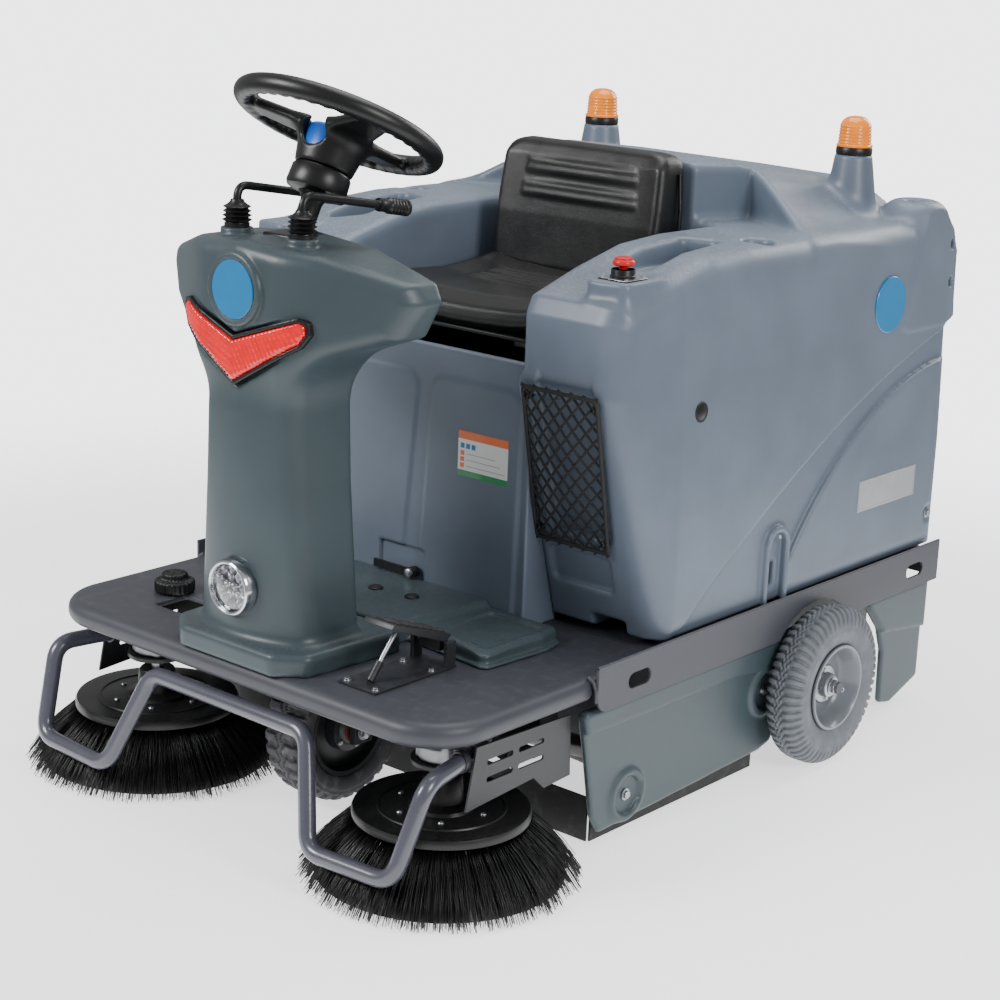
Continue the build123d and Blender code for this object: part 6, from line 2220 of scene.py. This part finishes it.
@dataclass
class MainBrush:
    """The cylindrical main brush with its spiral bristle rows."""

    y: float = 0.020
    z: float = 0.142
    radius: float = 0.140
    half: float = 0.352
    rows: int = 9

    def build(self) -> None:
        """Makes the brush and its shaft."""

        def roll(x: Array, y: Array, z: Array) -> Array:
            angle = np.arctan2(z - self.z, y - self.y)
            wave = np.cos(angle * self.rows + np.abs(x) * 14)
            reach = self.radius - 0.0005 - 0.020 * np.clip(0.35 - wave, 0, 1)
            return (np.hypot(y - self.y, z - self.z) - reach) * 0.8

        solid = Field(roll) & slab(-self.half, self.half, -1, 1, -1, 1, 0.002)
        brush = moulded("roll", solid, (-self.half - 0.01, -0.13, -0.005), (self.half + 0.01, 0.17, 0.29),
            0.0065)
        shaft = revolve("shaft", [(0.0, -0.412), (0.0118, -0.412), (0.012, -0.410), (0.012, 0.374),
            (0.0118, 0.376), (0.0, 0.376)], "x", (0, self.y, self.z), 32)
        piece = join("main_brush_dressed", [dress(brush, Paint.BRISTLE), dress(shaft, Paint.ZINC)])
        settle_piece(piece, "main_brush_roll", "bristle", "main_brush")


# ------------------------------------------------------------------ lamps, stop button, net, pedal
@dataclass
class Beacons:
    """Two amber beacons on their black collars."""

    x: float = 0.336
    y: float = 0.693
    z: float = 1.196

    def build(self) -> None:
        """Makes collars, ribbed domes and the lamps inside."""
        collars, domes, lamps = [], [], []
        for s in (-1, 1):
            at = (s * self.x, self.y, 0)
            collar = [(0.0, self.z + 0.0004), (0.0375, self.z + 0.0004), (0.0380, self.z + 0.002),
                (0.0380, self.z + 0.012), (0.0365, self.z + 0.0155), (0.0, self.z + 0.0158)]
            collars.append(dress(revolve("collar", collar, "z", at, 48), Paint.BLACK))
            line = [(0.0, self.z + 0.0165), (0.0375, self.z + 0.0165), (0.0378, self.z + 0.020),
                (0.0345, self.z + 0.0215)]
            for k in range(6):
                z = self.z + 0.023 + k * 0.0068
                r = 0.0342 - k * 0.0004
                line += [(r, z), (r + 0.0011, z + 0.0017), (r, z + 0.0034), (r - 0.0009, z + 0.0051)]
            line += [(0.0305, self.z + 0.0650), (0.0262, self.z + 0.0715), (0.0190, self.z + 0.0765),
                (0.0100, self.z + 0.0788), (0.0, self.z + 0.0795)]
            domes.append(dress(revolve("dome", line, "z", at, 64, sharp_deg=70), Paint.AMBER))
            lamp = [(0.0, self.z + 0.018), (0.012, self.z + 0.018), (0.012, self.z + 0.050),
                (0.008, self.z + 0.058), (0.0, self.z + 0.060)]
            lamps.append(dress(revolve("lamp", lamp, "z", at, 24), Paint.CHROME))
        settle_piece(join("beacon_bases", collars), "machine", "black_plastic", "beacon_collars")
        settle_piece(join("beacon_domes", domes), "machine", "amber_lens", "beacon_lenses")
        settle_piece(join("beacon_lamps", lamps), "machine", "chrome_trim")


@dataclass
class EmergencyStop:
    """The red mushroom button, its collar and its screwed plate."""

    x: float = 0.430
    y: float = -0.205
    z: float = 1.0405

    def build(self) -> None:
        """Makes the base and the button."""
        at = (self.x, self.y, 0)
        plate = box_piece("stop_plate", (self.x - 0.032, self.y - 0.032, self.z),
            (self.x + 0.032, self.y + 0.032, self.z + 0.0020), 0.0007)
        collar = revolve("collar", [(0.0085, self.z), (0.0235, self.z), (0.0235, self.z + 0.006),
            (0.0215, self.z + 0.008), (0.0205, self.z + 0.0175), (0.0085, self.z + 0.0175)], "z", at, 48,
            True)
        spots = [(self.x + dx, self.y + dy, self.z + 0.0018) for dx in (-0.026, 0.026) for dy in (-0.026,
            0.026)]
        screws = scatter("stop_screws", socket_screw(0.0034, 0.0026), spots, [(0, 0, 1)] * 4,
            material_of(Paint.ZINC))
        switch = from_cad("stop_switch", "emergency_stop_base", 0.0004)
        base = join("stop_base", [dress(plate, Paint.ZINC), dress(collar, Paint.BLACK), screws,
            dress(switch, Paint.BLACK)])
        settle_piece(base, "machine", "zinc_steel", "emergency_stop_base")
        line = [(0.0, 1.026), (0.0078, 1.026), (0.0078, 1.0635), (0.0165, 1.0640), (0.0198, 1.0665),
            (0.0203, 1.0710), (0.0190, 1.0735), (0.0165, 1.0752), (0.0160, 1.0785), (0.0120, 1.0795),
            (0.0, 1.0790)]
        head = revolve("stop_head", line, "z", at, 64)
        settle_piece(dress(head, Paint.RED), "stop_button", "signal_red", "emergency_stop_button")


@dataclass
class NetPocket:
    """The elastic net pocket on the front of the left console."""

    x0: float = 0.282
    x1: float = 0.454
    slant: float = 0.022
    z0: float = 0.527
    z1: float = 0.832
    across: int = 6
    up: int = 9

    def spot(self, u: float, v: float, lift: float) -> Point:
        """A point on the net: u across, v up, and a lift off the moulding."""
        x = self.x0 + (self.x1 - self.x0) * u + (v - 1) * self.slant
        z = self.z0 + (self.z1 - self.z0) * v
        return (x, console_face(z) - lift, z)

    def build(self) -> None:
        """Makes the edge cord, the diamonds, the edge loops and the screws."""
        def bulge(u: float, v: float) -> float:
            return 0.009 + 0.012 * math.sin(math.pi * min(max(u, 0), 1)) * math.sin(math.pi * min(max(v, 0),
                1))

        runs = []
        for family in (1, -1):
            for k in range(-self.up, self.across + self.up + 1):
                run = []
                for i in range(41):
                    v = i / 40
                    u = (k + family * v * self.up) / self.across
                    if -0.002 <= u <= 1.002:
                        run.append(self.spot(min(max(u, 0), 1), v, bulge(u, v)))
                if len(run) > 1:
                    runs.append(run)
        net = wires("net_diamonds", runs, 0.0024, 6, material_of(Paint.NET))
        frame_run = [self.spot(u, v, 0.010) for u, v in ((0, 0), (1, 0), (1, 1), (0, 1))]
        border = tube("net_border", frame_run, 0.0042, 0.010, 12, True)
        loops = []
        for k in range(self.across + 1):
            for v in (0.0, 1.0):
                x, y, z = self.spot(k / self.across, v, 0.010)
                dz = 0.006 if v else -0.006
                loops.append([(x - 0.003, y, z), (x - 0.002, y - 0.001, z + dz),
                    (x + 0.003, y, z + dz * 0.4)])
        knots = wires("net_knots", loops, 0.0026, 6, material_of(Paint.NET))
        screws = [self.spot(u, v, 0.0125) for u in (0.05, 0.95) for v in (0.06, 0.94)]
        fix = scatter("net_screws", socket_screw(0.0055, 0.0035), screws, [(0, -1, 0.28)] * 4,
            material_of(Paint.ZINC))
        posts = []
        for u in (0.05, 0.95):
            for v in (0.06, 0.94):
                x, y, z = self.spot(u, v, 0.0)
                posts.append(dress(revolve("post", [(0, -0.0125), (0.006, -0.0125), (0.0065, 0.002),
                    (0, 0.002)], "y", (x, y, z), 20), Paint.BLACK))
        piece = join("net_pocket_dressed", [net, dress(border, Paint.NET), knots, fix] + posts)
        settle_piece(piece, "machine", "elastic_net", "net_pocket")


@dataclass
class LatchCatches:
    """The dark catches seen through the latch openings of the flanks."""

    x: float = 0.496
    y: float = 0.221
    z: float = 0.416

    def build(self) -> None:
        """Makes one catch on each side."""
        catches = []
        for s in (-1, 1):
            low = (min(s * self.x, s * (self.x - 0.02)), self.y - 0.0155, self.z - 0.0235)
            high = (max(s * self.x, s * (self.x - 0.02)), self.y + 0.0155, self.z + 0.0235)
            catches.append(dress(box_piece("catch", low, high, 0.002), Paint.BLACK))
        settle_piece(join("latch_catches", catches), "machine", "black_plastic")


@dataclass
class Controls:
    """The accelerator pedal, its base, and the parking lever."""

    def build(self) -> None:
        """Makes the pedal with its ribs and strut, and the lever."""
        base = from_cad("pedal_plate", "pedal_base", 0.001)
        spots = [(x, y, 0.348) for x in (0.232, 0.302) for y in (-0.684, -0.540)]
        bolts = scatter("pedal_bolts", hex_bolt(0.006, 0.005, 0.008), spots, [(0, 0, 1)] * 4,
            material_of(Paint.ZINC))
        rod_piece = tube("pedal_strut", [(0.267, -0.660, 0.350), (0.267, -0.628, 0.392),
            (0.267, -0.600, 0.425)], 0.0045, 0.02, 12)
        sleeve = tube("strut_sleeve", [(0.267, -0.662, 0.350), (0.267, -0.638, 0.380)], 0.0075, 0, 14)
        base_piece = join("pedal_mount", [dress(base, Paint.BLACK_STEEL), bolts,
            dress(sleeve, Paint.BLACK_STEEL), dress(rod_piece, Paint.ZINC)])
        settle_piece(base_piece, "machine", "black_steel", "pedal_base")
        pedal = from_cad("pedal_plate_top", "accelerator_pedal", 0.0014)
        ribs = []
        for k in range(7):
            t = 0.10 + k * 0.125
            y, z = -0.489 - 0.151 * t, 0.405 + 0.052 * t
            ribs.append(box_piece("rib", (0.238, y - 0.003, z - 0.001), (0.296, y + 0.003, z + 0.0038),
                0.0009))
        piece = join("pedal_dressed", [dress(p, Paint.BLACK_STEEL) for p in [pedal]]
            + [dress(r, Paint.RUBBER) for r in ribs])
        settle_piece(piece, "pedal", "black_steel", "accelerator_pedal")
        lever = from_cad("parking_lever_dressed", "parking_lever", 0.0025)
        settle_piece(dress(lever, Paint.BLACK), "park_lever", "black_plastic", "parking_lever")


@dataclass
class Inside:
    """The pieces inside the machine, which keep their CAD shapes and get real finishes."""

    def build(self) -> None:
        """Gives each inner node its finish."""
        finishes = {"rubber_flaps": Paint.RUBBER, "steering_shaft": Paint.ZINC,
            "steering_gearbox": Paint.CAST, "steering_drop_shaft": Paint.ZINC, "steering_chain": Paint.ZINC,
            "brush_housing": Paint.DECK, "main_brush_motor": Paint.CAST, "dust_hopper": Paint.BLACK_STEEL,
            "filter_panel": Paint.FILTER, "fan_housing": Paint.BLACK, "fan_impeller": Paint.CAST,
            "battery_pack": Paint.BATTERY, "drive_controller": Paint.CAST,}
        for node, paint in finishes.items():
            piece = NODES[node]
            if not piece.material_slots:
                piece.data.materials.append(None)
            for slot in piece.material_slots:
                slot.link = "OBJECT"
                slot.material = material_of(paint)
            LOG.info("%s: %s", node, paint.value.name)


def main() -> None:
    """Builds every sub-assembly in order."""
    logging.basicConfig(level=logging.INFO, format="%(message)s")
    Studio().build()
    BodyShell().build()
    Deck().build()
    Chassis().build()
    Skirt("left").build()
    Skirt("right").build()
    Bumper().build()
    FrontColumn().build()
    TunnelCover().build()
    SeatPanel().build()
    Trim().build()
    Seat().build()
    Steering().build()
    RearWheel("left").build()
    RearWheel("right").build()
    FrontWheel().build()
    SideBrush("left").build()
    SideBrush("right").build()
    MainBrush().build()
    Beacons().build()
    EmergencyStop().build()
    NetPocket().build()
    LatchCatches().build()
    Controls().build()
    Inside().build()


if __name__ == "__main__":
    main()
